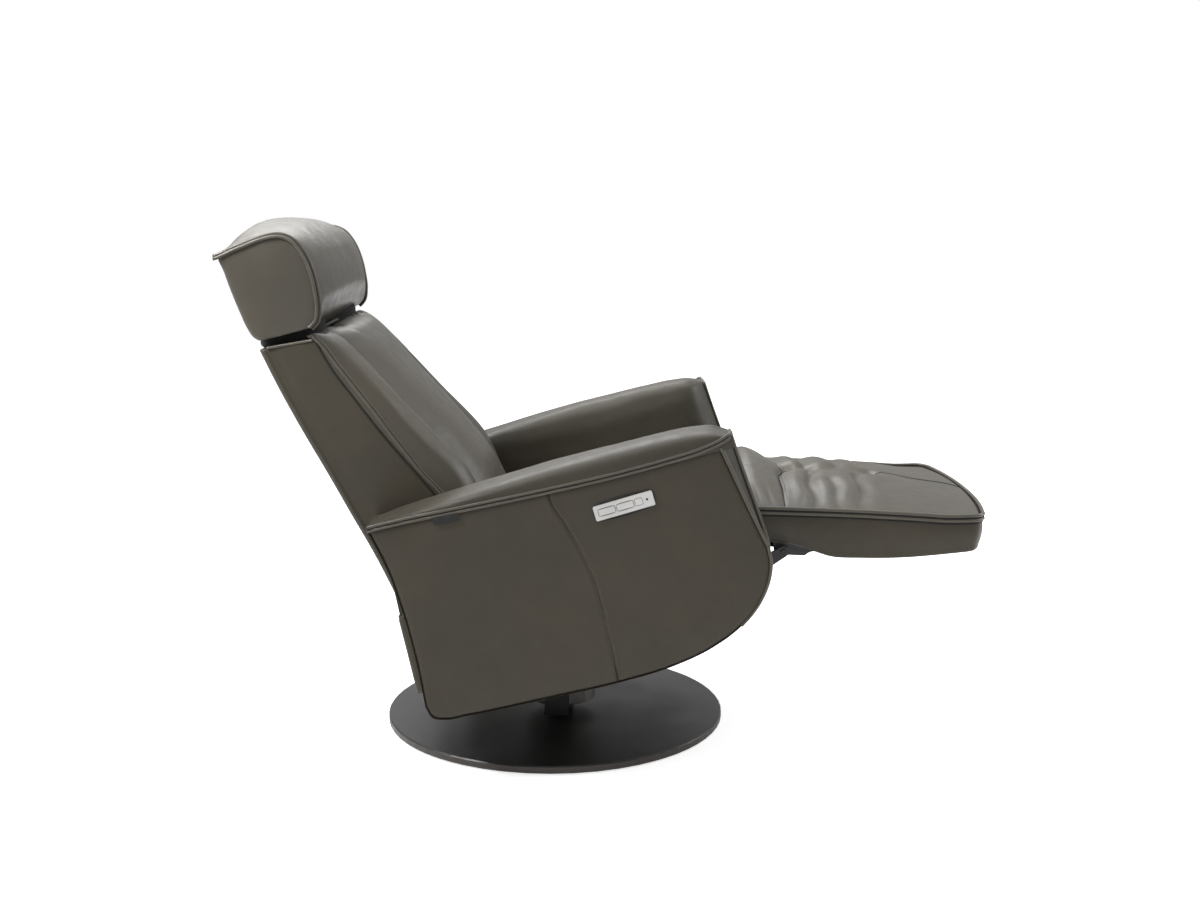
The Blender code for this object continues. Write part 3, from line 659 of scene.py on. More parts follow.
def side_panel(side, sign):
    nu, nv = 250, 110
    bottom = curve(PANEL_BOTTOM, nu)
    top = curve(PANEL_TOP, nu)
    rear = curve(PANEL_REAR, nv)
    front = curve(PANEL_FRONT, nv)
    flat = coons(bottom, top, rear, front)
    rim = np.vstack([bottom, front, top[::-1], rear[::-1]])
    edge = distance_to(flat, rim[::3])
    seam = curve(PANEL_SEAM, 60)
    near_seam = distance_to(flat, seam)
    grid = np.stack([flat[..., 0], np.zeros((nu, nv)), flat[..., 1]], axis=-1)
    r = 0.010
    inside = np.clip(edge, 0, r)
    rounding = (r - np.sqrt(np.maximum(r**2 - (r - inside) ** 2, 0))) * 0.75
    fall = smooth(edge, [(0.0, 0.0022), (0.03, 0.0006), (0.08, 0.0), (0.3, 0.0)])
    groove = 0.0013 * bell(near_seam, 0.0028) - 0.0006 * bell(near_seam - 0.0062, 0.004)
    swell = 0.0008 * ripple(grid, 9.0, 3.1) + 0.0003 * ripple(grid, 40.0, 1.7)
    depth = PANEL_Y - rounding - fall - groove + np.minimum(swell, 0.0002)
    grid[..., 1] = sign * depth
    back = grid.copy()
    back[..., 1] = sign * 0.3668
    front_rows = grid
    closed = np.concatenate([back[:1], front_rows, back[-1:]])
    left = closed[:, :1].copy()
    right = closed[:, -1:].copy()
    left[..., 1] = sign * 0.3668
    right[..., 1] = sign * 0.3668
    closed = np.concatenate([left, closed, right], axis=1)
    obj = surface("side_cover_" + side, seat_frame(closed), outward=False)
    orient(obj, (0, sign, 0))
    dress(obj, "seat", LEATHER, ["side_panel_" + side])
    # A near-black cord along the seam groove: painted shadow in the seam.
    line = np.stack([seam[:, 0], np.full(60, sign * (PANEL_Y - 0.0014)), seam[:, 1]], axis=1)
    cord("side_seam_" + side, seat_frame(line), "seat", SEAM_SHADE, 0.0007)
    for k, off in (("a", 0.0055),):
        beside = line.copy()
        beside[:, 0] += off
        beside[:, 1] = sign * (PANEL_Y + 0.0003)
        stitches("side_stitch_" + side + k, seat_frame(beside), "seat", radius=0.0004)
    edge_line = np.vstack([curve(PANEL_FRONT[::-1], 60), curve(PANEL_BOTTOM[::-1], 160)[1:34]])
    sunk = np.clip((np.arange(len(edge_line)) - 55) / 38.0, 0, 1)
    run = np.stack([edge_line[:, 0], sign * (0.3868 - 0.0040 * sunk), edge_line[:, 1]], axis=1)
    cord("side_edge_cord_" + side, seat_frame(run), "seat", LEATHER_CORD_LIT, 0.0031)


def orient(obj, towards):
    """Turns an open sheet's faces to point mostly towards a direction."""
    total = Vector((0, 0, 0))
    for face in obj.data.polygons:
        total += face.normal * face.area
    if total.dot(Vector(towards)) < 0:
        obj.data.flip_normals()


def arm_sheet(side, sign):
    """The padded arm cover: from the outer piping over the crown, down the inside and round the front."""
    across = np.array([
        (0.3880, -1.0, 0.0), (0.3892, 0.0, 0.0), (0.3895, 0.34, 0.0), (0.3872, 0.62, 0.0),
        (0.3800, 0.83, 0.0),
        (0.3660, 0.95, 0.0), (0.3400, 0.995, 0.0), (0.3120, 1.0, 0.0), (0.2930, 0.93, 0.0),
        (0.2790, 0.66, 0.0),
        (0.2710, 0.10, 0.0),
        (0.2672, -1.2, 0.0), (0.2662, -3.0, 0.0), (0.2678, -4.5, 0.0), (0.2705, -5.4, 0.0),
    ])
    ns, nt = 90, 170
    shape = curve(across[:, :2] * [1.0, 0.035], ns)
    along = eased(nt, 0.35)
    grid = np.zeros((ns, nt, 3))
    x = -0.236 + along * (0.402 + 0.236)
    piping = smooth(x, ARM_PIPING)
    crown = smooth(x, CROWN)
    panel_top = smooth(x, PANEL_TOP)
    for i, (y, k) in enumerate(shape):
        k = k / 0.035
        rise = np.maximum(crown - piping, 0.0)
        if k >= 0 or y > 0.33:
            z = piping + rise * max(k, 0.0)
            if k < 0:
                z = piping + (panel_top - 0.004 - piping) * (-k)
        else:
            floor = 0.335
            z = piping + (floor - piping) * min(1.0, (-k) / 5.4)
        grid[i, :, 0] = x
        grid[i, :, 1] = y
        grid[i, :, 2] = z
    z = grid[..., 2]
    y = grid[..., 1]
    front = smooth(z, FRONT_X)
    radius = np.clip(GUSSET_Y - y, 0.0, 0.060)
    start = 0.402 - 0.075
    t = np.clip((grid[..., 0] - start) / 0.075, 0, 1)
    inner = y < GUSSET_Y
    reach = front - start
    angle = t * math.pi / 2
    bent_x = start + reach * np.where(inner, np.sin(angle) * 0.35 + t * 0.65, t)
    bent_y = y + radius * (1 - np.cos(angle)) ** 1.5
    grid[..., 0] = np.where(grid[..., 0] > start, bent_x, grid[..., 0])
    grid[..., 1] = np.where(inner, bent_y, y)
    soft = 0.0011 * ripple(grid, 12.0, 5.0 + sign) + 0.0004 * ripple(grid, 46.0, 2.0)
    calm = smooth(np.arange(ns) / (ns - 1.0), [(0.0, 0.0), (0.10, 0.2), (0.3, 1.0), (1.0, 1.0)])[:, None]
    grid[..., 2] += soft * calm
    grid[..., 1] -= soft * calm * 0.8
    grid[..., 1] *= sign
    obj = surface("arm_cover_" + side, seat_frame(grid), outward=False)
    orient(obj, (0, 0, 1))
    dress(obj, "seat", LEATHER_ARM_SHADED, ["arm_pad_" + side])
    xs = np.linspace(-0.232, 0.402, 150)
    line = np.stack([xs, np.full(150, sign * 0.3885), smooth(xs, ARM_PIPING)], axis=1)
    tip_y = np.linspace(0.3885, GUSSET_Y + 0.002, 14)[1:]
    swing = np.linspace(0, math.pi / 2, 14)[1:]
    tip = np.stack([0.402 + 0.004 * np.sin(swing), sign * tip_y,
        0.5480 + 0.0012 * np.sin(2 * swing)], axis=1)
    zs = np.linspace(0.5450, 0.345, 70)
    down = np.stack([smooth(zs, FRONT_X) + 0.0005, np.full(70, sign * GUSSET_Y), zs], axis=1)
    belly = np.array([(x + 0.0015, sign * GUSSET_Y, z - 0.0015) for x, z in PANEL_BOTTOM[-2:4:-1]])
    path = curve(np.vstack([line, tip, down[1:], belly]), 340)
    slope = np.gradient(path, axis=0)
    flat = np.abs(slope[:, 0]) / np.linalg.norm(slope, axis=1)
    lean = (np.clip(flat * 1.4, 0, 1) * step_up(np.abs(path[:, 1]) - 0.340, 0.03))[:, None]
    direction = lean * np.array([0, 0, 1.0]) + (1 - lean) * np.array([0.25, -sign * 1.0, 0.15])
    double_cord("arm_piping_" + side, seat_frame(path), direction, "seat")
    keep = (xs > -0.21) & (xs < 0.375)
    z_line = smooth(xs, ARM_PIPING) + 0.0085
    row = np.stack([xs, np.full(150, sign * 0.3884), z_line], axis=1)[keep]
    stitches("arm_stitch_" + side, seat_frame(row), "seat", radius=0.00045)


def arm_boxing(side, sign):
    """The boxing that closes the arm's front, belly, underside and rear, with its inner face."""
    n = 240
    loop = np.vstack([
        curve([(0.3815, 0.5455)] + PANEL_FRONT[::-1], 65)[:-1], curve(PANEL_BOTTOM[::-1], 121)[:-1],
        curve(PANEL_REAR, 59),
    ])
    loop = loop[np.linspace(0, len(loop) - 1, n).astype(int)]
    heights = loop[:, 1]
    in_front = (loop[:, 0] > 0.30) & (heights > 0.335)
    pushed = loop.copy()
    pushed[:, 0] = np.where(in_front, smooth(heights, FRONT_X) - 0.002, loop[:, 0])
    middle = (loop + pushed) / 2
    centre = np.array([0.10, 0.36])
    inward = centre - pushed
    inward = inward / np.linalg.norm(inward, axis=1)[:, None]
    rows = [
        (loop - 0.0 * inward, 0.3868), (loop + 0.0022 * inward, 0.3760), (middle + 0.0030 * inward, 0.3560),
        (pushed + 0.0022 * inward, 0.3420), (pushed + 0.0012 * inward, GUSSET_Y),
        (pushed + 0.014 * inward, 0.3100),
        (pushed + 0.030 * inward, 0.2900), (pushed + 0.045 * inward, 0.2740),
        (pushed + 0.08 * inward, 0.2735),
        (pushed + 0.14 * inward, 0.2735),
    ]
    grid = np.array([
        np.stack([points[:, 0], np.full(n, sign * y), points[:, 1]], axis=1) for points, y in rows
    ])
    obj = surface("arm_boxing_" + side, seat_frame(grid), outward=False)
    orient(obj, (0, 0, -1))
    dress(obj, "seat", LEATHER_SHADED, ["arm_core_" + side])


def arm_label():
    """The small folded label under the near arm's piping, blank."""
    low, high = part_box("arm_tag")
    obj = NODES["arm_tag"]
    obj.data.materials.clear()
    obj.data.materials.append(FABRIC)
    return low, high


def rounded_loop(u_middle, width, height, radius, n=80):
    """A rectangle with round corners on the control panel, as (along, up) points."""
    points = []
    for cu, cv, start in ((1, 1, 0), (-1, 1, 90), (-1, -1, 180), (1, -1, 270)):
        for a in range(start, start + 91, 15):
            points.append((
                u_middle + cu * (width / 2 - radius) + radius * math.cos(math.radians(a)),
                cv * (height / 2 - radius) + radius * math.sin(math.radians(a)),
            ))
    return curve(np.array(points), n, closed=True)


def panel_lines():
    """Painted shade: darker lines in the grooves round the rockers and the button, and a black line round
    the plate as painted shadow.
    """
    slope = math.radians(4.0)
    for name, u, width, height, radius, depth, size, material in (
        ("control_plate_shadow", 0.0, 0.1052, 0.0272, 0.0038, -0.3902, 0.0010, PLATE_SHADOW),
        ("rocker_groove_shade_1", -0.0302, 0.0292, 0.0112, 0.0016, -0.3935, 0.00070, GROOVE_SHADE),
        ("rocker_groove_shade_2", 0.0020, 0.0292, 0.0112, 0.0016, -0.3935, 0.00070, GROOVE_SHADE),
        ("button_groove_shade", 0.0260, 0.0132, 0.0122, 0.0032, -0.3935, 0.00040, GROOVE_SHADE),
    ):
        loop = rounded_loop(u, width, height, radius)
        x = 0.2035 + loop[:, 0] * math.cos(slope) - loop[:, 1] * math.sin(slope)
        z = 0.4705 + loop[:, 0] * math.sin(slope) + loop[:, 1] * math.cos(slope)
        cord(name, seat_frame(np.stack([x, np.full(len(x), depth), z], axis=1)), "seat", material,
            size, closed=True)


def rear_skirt():
    nu, nv = 90, 50
    u = eased(nu, 0.6)
    v = eased(nv, 0.6)
    uu, vv = np.meshgrid(u, v, indexing="ij")
    y = (uu - 0.5) * 2 * 0.2722
    z = 0.187 + vv * (0.334 - 0.187)
    du = np.minimum(uu, 1 - uu) * 0.531
    dv = np.minimum(vv, 1 - vv) * 0.147
    edge = np.minimum(du, dv)
    r = 0.009
    inside = np.clip(edge, 0, r)
    rounding = r - np.sqrt(np.maximum(r**2 - (r - inside) ** 2, 0))
    bow = 0.0010 * np.sin(math.pi * np.clip((z - 0.20) / 0.16, 0, 1))
    grid = np.stack([-0.2405 - bow + rounding, y, z], axis=-1)
    grid[..., 0] += 0.0010 * ripple(grid, 14.0, 8.0)
    obj = surface("rear_skirt_cover", seat_frame(rimmed(grid, 0, -0.2185)), outward=False)
    orient(obj, (-1, 0, 0))
    dress(obj, "seat", LEATHER, ["rear_skirt"])
    ys = np.linspace(-0.268, 0.268, 100)
    for name, height in (("top", 0.3335), ("bottom", 0.1880)):
        line = np.stack([np.full(100, -0.2355), ys, np.full(100, height)], axis=1)
        double_cord("skirt_piping_" + name, seat_frame(line), (1, 0, 0.4), "seat", 0.0020)


def rimmed(grid, axis, value):
    """The sheet with its rim carried straight back to a plane, so that its edge has depth."""
    def back(part):
        moved = part.copy()
        moved[..., axis] = value
        return moved
    tall = np.concatenate([back(grid[:1]), grid, back(grid[-1:])])
    return np.concatenate([back(tall[:, :1]), tall, back(tall[:, -1:])], axis=1)


# ---------------------------------------------------------------- seat cushion and apron

def seat_cushion():
    low, high = (0.006, -0.2565, 0.336), (0.361, 0.2565, 0.452)
    ring = [
        (low[0], low[2] + 0.004), (0.18, low[2]), (high[0] - 0.010, low[2] + 0.001),
        (high[0], low[2] + 0.016),
        (high[0] + 0.001, 0.395), (high[0] - 0.006, high[2] - 0.022), (high[0] - 0.030, high[2] - 0.003),
        (0.270, high[2]), (0.180, high[2] - 0.001), (0.080, high[2] - 0.008), (0.012, high[2] - 0.016),
        (low[0], 0.400),
    ]
    loop = curve(ring, 150, closed=True)
    ys = (eased(90, 0.75) - 0.5) * 2 * low[1] * -1
    centre = np.array([0.18, 0.392])
    rows = []
    for y in ys:
        t = abs(y) / high[1]
        squeeze = (1 - max(0.0, (t - 0.93) / 0.07) ** 2.2 * 0.10)
        crown = 0.0075 * (1 - t**2)
        valley = -0.0060 * float(bell(abs(y) - VALLEY_Y, 0.012))
        points = centre + (loop - centre) * squeeze
        top = np.clip((points[:, 1] - 0.40) / 0.05, 0, 1)
        rows.append(np.stack([points[:, 0], np.full(150, y), points[:, 1] + top * (crown + valley)], axis=1))
    grid = capped(np.array(rows))
    obj = surface("seat_cushion_cover", seat_frame(grid), wrap_v=True)
    plump(obj, 0.008)
    dress(obj, "seat", LEATHER_SOFT, ["seat_cushion"])
    for side, sign in SIDES:
        xs = np.linspace(0.02, 0.335, 60)
        tops = smooth(xs, [(0.012, 0.436), (0.080, 0.444), (0.180, 0.451), (0.270, 0.452), (0.331, 0.449)])
        line = np.stack([xs, np.full(60, sign * VALLEY_Y), tops], axis=1)
        line = settle(obj, seat_frame(line), 0.0006)
        double_cord("seat_seam_" + side, line, (0, 1, 0), "seat", 0.0016)
    front = np.linspace(-0.236, 0.236, 120)
    line = np.stack([np.full(120, 0.350), front, np.full(120, 0.438)], axis=1)
    double_cord("seat_front_seam", settle(obj, seat_frame(line), 0.0006), (0.7, 0, 0.7), "seat", 0.0016)


def joint_gusset(name, low, high, width, material, folds):
    """A pleated sheet from the seat to the back."""
    start = seat_frame(np.array([low[0], 0.0, low[1]]))
    end = back_frame(np.array([high[0], 0.0, high[1]]))
    t = np.linspace(0, 1, 24)
    line = start[None] + (end - start)[None] * t[:, None]
    normal = np.array([-(end - start)[2], 0.0, (end - start)[0]])
    normal = normal / np.linalg.norm(normal)
    line = line + normal[None] * (0.003 * np.sin(t * folds * math.pi) - 0.004 * np.sin(t * math.pi))[:, None]
    ys = np.linspace(-width, width, 60)
    grid = np.zeros((24, 60, 3))
    grid[..., 0] = line[:, :1]
    grid[..., 1] = ys[None]
    grid[..., 2] = line[:, 2:]
    obj = surface(name, grid, outward=False)
    thick = obj.modifiers.new("thick", "SOLIDIFY")
    thick.thickness = 0.0016
    dress(obj, None, material)
    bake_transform(obj)


def seat_back_gussets():
    joint_gusset("lumbar_gusset", (0.030, 0.4300), (-0.060, 0.4050), 0.250, LEATHER_SHADED, 2)
    joint_gusset("rear_gusset", (-0.2200, 0.3200), (-0.2120, 0.3950), 0.256, BLACK_CLOTH, 5)


def front_apron():
    """The leather apron from the seat's front to the footrest."""
    profile = [
        (0.345, 0.4480), (0.362, 0.4430), (0.378, 0.4300), (0.392, 0.4230), (0.405, 0.4180), (0.412, 0.4000),
        (0.414, 0.3750), (0.410, 0.3500), (0.398, 0.3300), (0.380, 0.3150), (0.362, 0.3100),
    ]
    line = curve(profile, 60)
    ys = np.linspace(-0.238, 0.238, 90)
    grid = np.zeros((60, 90, 3))
    grid[..., 0] = line[:, :1]
    grid[..., 1] = ys[None]
    grid[..., 2] = line[:, 1:]
    folds = 0.0022 * np.sin(np.linspace(0, 5 * math.pi, 60))[:, None]
    grid[..., 2] += folds * bell(ys, 0.2)[None] + 0.0015 * ripple(grid, 22.0, 4.0)
    obj = surface("front_apron", seat_frame(grid), outward=False)
    orient(obj, (0, 0, 1))
    thick = obj.modifiers.new("thick", "SOLIDIFY")
    thick.thickness = 0.002
    dress(obj, "seat", LEATHER_SHADED)
    anchor = tuple(seat_frame(np.array([0.350, 0.0, 0.40])))
    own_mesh(obj)


# ---------------------------------------------------------------- back

PIPING_X = [
    (0.380, -0.0560), (0.440, -0.0540), (0.526, -0.0660), (0.574, -0.0790), (0.621, -0.0880),
    (0.670, -0.0970),
    (0.719, -0.1050), (0.765, -0.1140), (0.813, -0.1230), (0.849, -0.1290), (0.872, -0.1360),
]
SIDE_X = [
    (0.380, -0.0640), (0.440, -0.0640), (0.537, -0.0780), (0.608, -0.0945), (0.671, -0.1090),
    (0.746, -0.1230),
    (0.802, -0.1330), (0.868, -0.1375),
]
CREST_X = [
    (0.380, -0.0220), (0.444, -0.0110), (0.502, -0.0050), (0.538, -0.0060), (0.627, -0.0320),
    (0.723, -0.0630),
    (0.806, -0.0870), (0.850, -0.1030), (0.872, -0.1170), (0.884, -0.1300),
]
VALLEY_X = [
    (0.380, -0.0330), (0.440, -0.0270), (0.502, -0.0290), (0.592, -0.0450), (0.685, -0.0670),
    (0.749, -0.0830),
    (0.825, -0.1000), (0.858, -0.1120), (0.874, -0.1260), (0.882, -0.1340),
]
REAR_X = [(0.380, -0.2270), (0.470, -0.2255), (0.560, -0.2285), (0.640, -0.2310), (0.720, -0.2345),
    (0.800, -0.2355), (0.890, -0.2330)]


CENTRE_RISE = [
    (0.378, 0.034), (0.450, 0.040), (0.520, 0.043), (0.600, 0.043), (0.700, 0.040), (0.780, 0.035),
    (0.840, 0.030),
    (0.870, 0.024), (0.883, 0.014),
]


def back_shell():
    """The leather boxing of the back: rear panel, rounded rear edges and both side faces."""
    r = 0.012
    nv = 120
    rows = []
    ts = eased(nv, 0.25)
    fracs_side = np.linspace(0, 1, 26)
    arc = np.linspace(0, math.pi / 2, 10)[1:-1]
    ys_rear = np.linspace(-(BACK_SIDE - r), BACK_SIDE - r, 40)
    for t in ts:
        z0 = 0.378
        zs = z0 + t * (0.870 - z0)
        front = float(smooth(zs, SIDE_X))
        rear = float(smooth(zs, REAR_X))
        half = []
        for f in fracs_side:
            x = front + (rear + r - front) * f
            half.append((x, BACK_SIDE - 0.0018 * (1 - math.sin(math.pi * min(1, f * 1.2 + 0.02)) ** 0.5)))
        for a in arc:
            half.append((rear + r - r * math.sin(a), BACK_SIDE - r + r * math.cos(a)))
        loop = [(x, -y) for x, y in half]
        loop += [(rear - 0.0015 * math.cos(y / 0.25 * 1.5), y) for y in ys_rear]
        loop += [(x, y) for x, y in half[::-1]]
        loop += [(front - 0.03, y) for y in np.linspace(0.24, -0.24, 12)]
        points = []
        for x, y in loop:
            top = 0.893 - (x + 0.226) / 0.088 * 0.026
            top = min(top, 0.894)
            points.append((x, y, z0 + t * (top - z0)))
        rows.append(points)
    grid = np.array(rows)
    edge = np.clip((1 - ts) / 0.012, 0, 1)[:, None]
    grid[..., 1] *= 1 - 0.010 * (1 - edge) ** 2
    sway = 0.0011 * ripple(grid, 9.0, 6.0)
    grid[..., 1] += np.where(np.abs(grid[..., 1]) > 0.255, -np.sign(grid[..., 1]) * np.abs(sway), 0.0)
    obj = surface("back_shell", back_frame(capped(grid)), wrap_v=True)
    dress(obj, "back", LEATHER, ["back_rear_panel", "back_side_board_R", "back_side_board_L"])
    for side, sign in SIDES:
        xs = np.linspace(-0.218, -0.140, 30)
        zs = 0.893 - (xs + 0.226) / 0.088 * 0.026
        line = np.stack([xs, np.full(30, sign * (BACK_SIDE - 0.0015)), zs], axis=1)
        cord("back_top_cord_" + side, back_frame(line), "back", LEATHER_CORD_LIT, 0.0026)
        zs = np.linspace(0.395, 0.866, 120)
        line = np.stack([smooth(zs, SIDE_X), np.full(120, sign * (BACK_SIDE - 0.0020)), zs], axis=1)
        # A near-black cord where the side face meets the bolster: painted shadow in the seam.
        cord("back_board_seam_shade_" + side, back_frame(line), "back", SEAM_SHADE, 0.0012)
    ys = np.linspace(-0.250, 0.250, 80)
    line = np.stack([np.full(80, -0.2230), ys, np.full(80, 0.8905)], axis=1)
    cord("back_rear_cord", back_frame(line), "back", LEATHER_CORD_LIT, 0.0026)


def bolster(side, sign):
    """The lengthwise roll between the side piping and the centre panel."""
    nv = 150
    ts = eased(nv, 0.3)
    z_low, z_high = 0.378, 0.880
    outer, inner = 0.2620, VALLEY_Y + 0.0006
    faces = np.linspace(0, 1, 40)
    rows = []
    for t in ts:
        z = z_low + t * (z_high - z_low)
        piping = float(smooth(z, PIPING_X))
        crest = float(smooth(z, CREST_X)) - (0.0012 if sign > 0 else 0.0)
        valley = float(smooth(z, VALLEY_X)) - 0.010
        wall = float(smooth(z, SIDE_X)) - 0.004
        loop = [(wall, outer + 0.0010), ((wall + piping) / 2, outer + 0.0016)]
        for f in faces:
            y = outer + (inner - outer) * f
            rise_out = (1 - (1 - min(1.0, f / 0.55)) ** 2.4) ** 0.60
            rise_in = (1 - max(0.0, (f - 0.55) / 0.45) ** 2.6) ** 0.62
            base = piping + (crest - piping) * rise_out if f < 0.55 else valley + (crest - valley) * rise_in
            loop.append((base, y))
        back_x = min(-0.142, valley - 0.012)
        loop += [(back_x, inner), (back_x, (inner + outer) / 2), (back_x, outer)]
        rows.append([(x, sign * y, z) for x, y in loop])
    grid = np.array(rows)
    soft = 0.0012 * ripple(grid, 13.0, 9.0 + sign) + 0.0005 * ripple(grid, 42.0, 3.0)
    grid[..., 0] += soft
    obj = surface("back_bolster_cover_" + side, back_frame(capped(grid)), wrap_v=True)
    plump(obj, 0.006, lambda at: step_up(np.abs(at[:, 1]) - VALLEY_Y,
        0.03) * step_up(outer - np.abs(at[:, 1]), 0.03))
    dress(obj, "back", LEATHER_SOFT, ["back_bolster_" + side])
    zs = np.linspace(0.400, 0.872, 150)
    line = np.stack([smooth(zs, PIPING_X) + 0.0008, np.full(150, sign * (outer + 0.0008)), zs], axis=1)
    double_cord("back_piping_" + side, back_frame(line), (1.0, sign * -0.9, 0.2), "back", 0.0024)


def centre_panel():
    nv, nu = 150, 90
    ts = eased(nv, 0.3)
    half = VALLEY_Y - 0.0006
    us = (eased(nu, 0.5) - 0.5) * 2
    rows = []
    for t in ts:
        z = 0.378 + t * (0.883 - 0.378)
        valley = float(smooth(z, VALLEY_X)) - 0.006
        crown = float(smooth(z, CENTRE_RISE)) * min(1.0, 0.6 + 7 * t)
        loop = [(valley + crown * (1 - abs(u) ** 2.8) ** 0.80, half * u) for u in us]
        back_x = min(-0.142, valley - 0.012)
        loop += [(back_x, half * u) for u in np.linspace(1, -1, 12)]
        rows.append([(x, y, z) for x, y in loop])
    grid = np.array(rows)
    soft = 0.0014 * ripple(grid, 9.0, 11.0) + 0.0003 * ripple(grid, 30.0, 4.0)
    grid[..., 0] += soft
    obj = surface("back_centre_cover", back_frame(capped(grid)), wrap_v=True)
    plump(obj, 0.010, lambda at: step_up(half - np.abs(at[:, 1]), 0.06))
    dress(obj, "back", LEATHER_SOFT, ["back_cushion"])
    for side, sign in SIDES:
        zs = np.linspace(0.400, 0.876, 120)
        line = np.stack([smooth(zs, VALLEY_X) - 0.0045, np.full(120, sign * VALLEY_Y), zs], axis=1)
        # A near-black cord along each valley between bolster and centre panel: painted shadow in the crease.
        cord("back_valley_seam_" + side, back_frame(line), "back", SEAM_SHADE, 0.0012)


# ---------------------------------------------------------------- headrest

HEAD_SIDE = [
    (-0.2190, 1.0690), (-0.1950, 1.0680), (-0.1650, 1.0660), (-0.1400, 1.0635), (-0.1190, 1.0590),
    (-0.1020, 1.0510), (-0.0890, 1.0360), (-0.0825, 1.0110), (-0.0840, 0.9760), (-0.0920, 0.9430),
    (-0.1040, 0.9120), (-0.1180, 0.8930), (-0.1320, 0.8870),
]
HEAD_CROWN = [
    (-0.2200, 1.0850), (-0.2080, 1.1015), (-0.1840, 1.1080), (-0.1620, 1.1050), (-0.1380, 1.0965),
    (-0.1150, 1.0840), (-0.0875, 1.0635), (-0.0670, 1.0330), (-0.0640, 0.9900), (-0.0720, 0.9500),
    (-0.0880, 0.9150), (-0.1080, 0.8930), (-0.1300, 0.8850),
]
HEAD_UNDER = [(-0.1320, 0.8870), (-0.1750, 0.8960), (-0.2120, 0.9040), (-0.2265, 0.9080), (-0.2335, 0.9200)]
HEAD_REAR = [
    (-0.2335, 0.9200), (-0.2345, 0.9400), (-0.2330, 0.9610), (-0.2275, 1.0130), (-0.2215, 1.0500),
    (-0.2190, 1.0690),
]


def headrest():
    n_face, n_under, n_rear = 110, 30, 50
    side = np.vstack([curve(HEAD_SIDE, n_face), curve(HEAD_UNDER, n_under)[1:],
        curve(HEAD_REAR, n_rear)[1:-1]])
    crown = np.vstack([curve(HEAD_CROWN, n_face), curve(HEAD_UNDER, n_under)[1:],
        curve(HEAD_REAR, n_rear)[1:-1]])
    fade = np.linspace(0, 1, n_rear)[1:-1][:, None]
    crown[-(n_rear - 2):] += (crown[0] - crown[-1]) * fade**3
    ys = (eased(120, 0.75) - 0.5) * 2
    rows = []
    r = 0.011
    for u in ys:
        w = (1 - abs(u) ** 2.3) ** 0.72
        loop = side + (crown - side) * w
        y = HEAD_HALF * u
        over = max(0.0, abs(y) - (HEAD_HALF - r))
        inset = r - math.sqrt(max(r * r - over * over, 0.0))
        rear = np.clip((-0.190 - loop[:, 0]) / 0.030, 0, 1) * np.clip((1.055 - loop[:, 1]) / 0.02, 0, 1)
        loop = loop + np.stack([rear * inset * 0.8, np.zeros(len(loop))], axis=1)
        rows.append(np.stack([loop[:, 0], np.full(len(loop), y), loop[:, 1]], axis=1))
    grid = np.array(rows)
    calm = np.clip((1 - np.abs(ys)) / 0.15, 0, 1)[:, None]
    soft = (0.0015 * ripple(grid, 9.0, 13.0) + 0.0003 * ripple(grid, 26.0, 5.0)) * calm
    grid[..., 0] += soft
    grid[..., 2] += soft
    ends = []
    for row, sign in ((grid[0], -1), (grid[-1], 1)):
        middle = row.mean(0)
        for k in (0.985, 0.955, 0.90, 0.82, 0.70, 0.55, 0.38, 0.2, 0.0):
            ring = middle + (row - middle) * k
            ring[:, 1] = sign * (HEAD_HALF + 0.0065 * (1 - k**2.2) ** 0.6)
            ends.append(ring)
    low, high = np.array(ends[:9])[::-1], np.array(ends[9:])
    obj = surface("headrest_cover", back_frame(np.concatenate([low, grid, high])), wrap_v=True)
    plump(obj, 0.004, lambda at: step_up(HEAD_HALF - np.abs(at[:, 1]), 0.05), voxel=0.004, even=2)
    dress(obj, "headrest", LEATHER_SOFT, ["headrest_core", "headrest_cushion"])
    for name, sign in SIDES:
        path = np.vstack([[(-0.2250, 1.0700)], HEAD_SIDE])
        line = curve(path, 150)
        line = np.stack([line[:, 0], np.full(150, sign * (HEAD_HALF + 0.0004)), line[:, 1]], axis=1)
        tangent = np.gradient(line, axis=0)
        normal = np.stack([tangent[:, 2], np.zeros(150), -tangent[:, 0]], axis=1)
        normal = normal / np.linalg.norm(normal, axis=1)[:, None]
        direction = normal * 0.6 + np.array([0, sign * 0.8, 0])
        double_cord("head_piping_" + name, back_frame(line),
            back_frame(direction) - back_frame(np.zeros(3)), "headrest", 0.0032)
        row = line + normal * 0.009
        row[:, 1] = sign * (HEAD_HALF - 0.006)
    gap_gusset()


def gap_gusset():
    """The black stretch gusset between back and headrest."""
    loop = curve([
        (-0.210, -0.236), (-0.210, 0.0), (-0.210, 0.236), (-0.182, 0.244), (-0.158, 0.236), (-0.156, 0.0),
        (-0.158, -0.236), (-0.182, -0.244),
    ], 96, closed=True)
    rows = []
    levels = np.linspace(0.0, 1.0, 16)
    for t in levels:
        fold = 0.0020 * math.cos(t * 4 * math.pi)
        low = 0.868
        high = 0.912
        rows.append(np.stack([loop[:, 0] + fold, loop[:, 1], np.full(96, low + t * (high - low))], axis=1))
    obj = surface("head_gusset", back_frame(np.array(rows)), wrap_v=True)
    dress(obj, None, BLACK_CLOTH)
    ends = back_frame(np.array([[-0.16, 0.0, 0.872], [-0.16, 0.0, 0.906]]))
    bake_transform(obj)


# ---------------------------------------------------------------- footrest

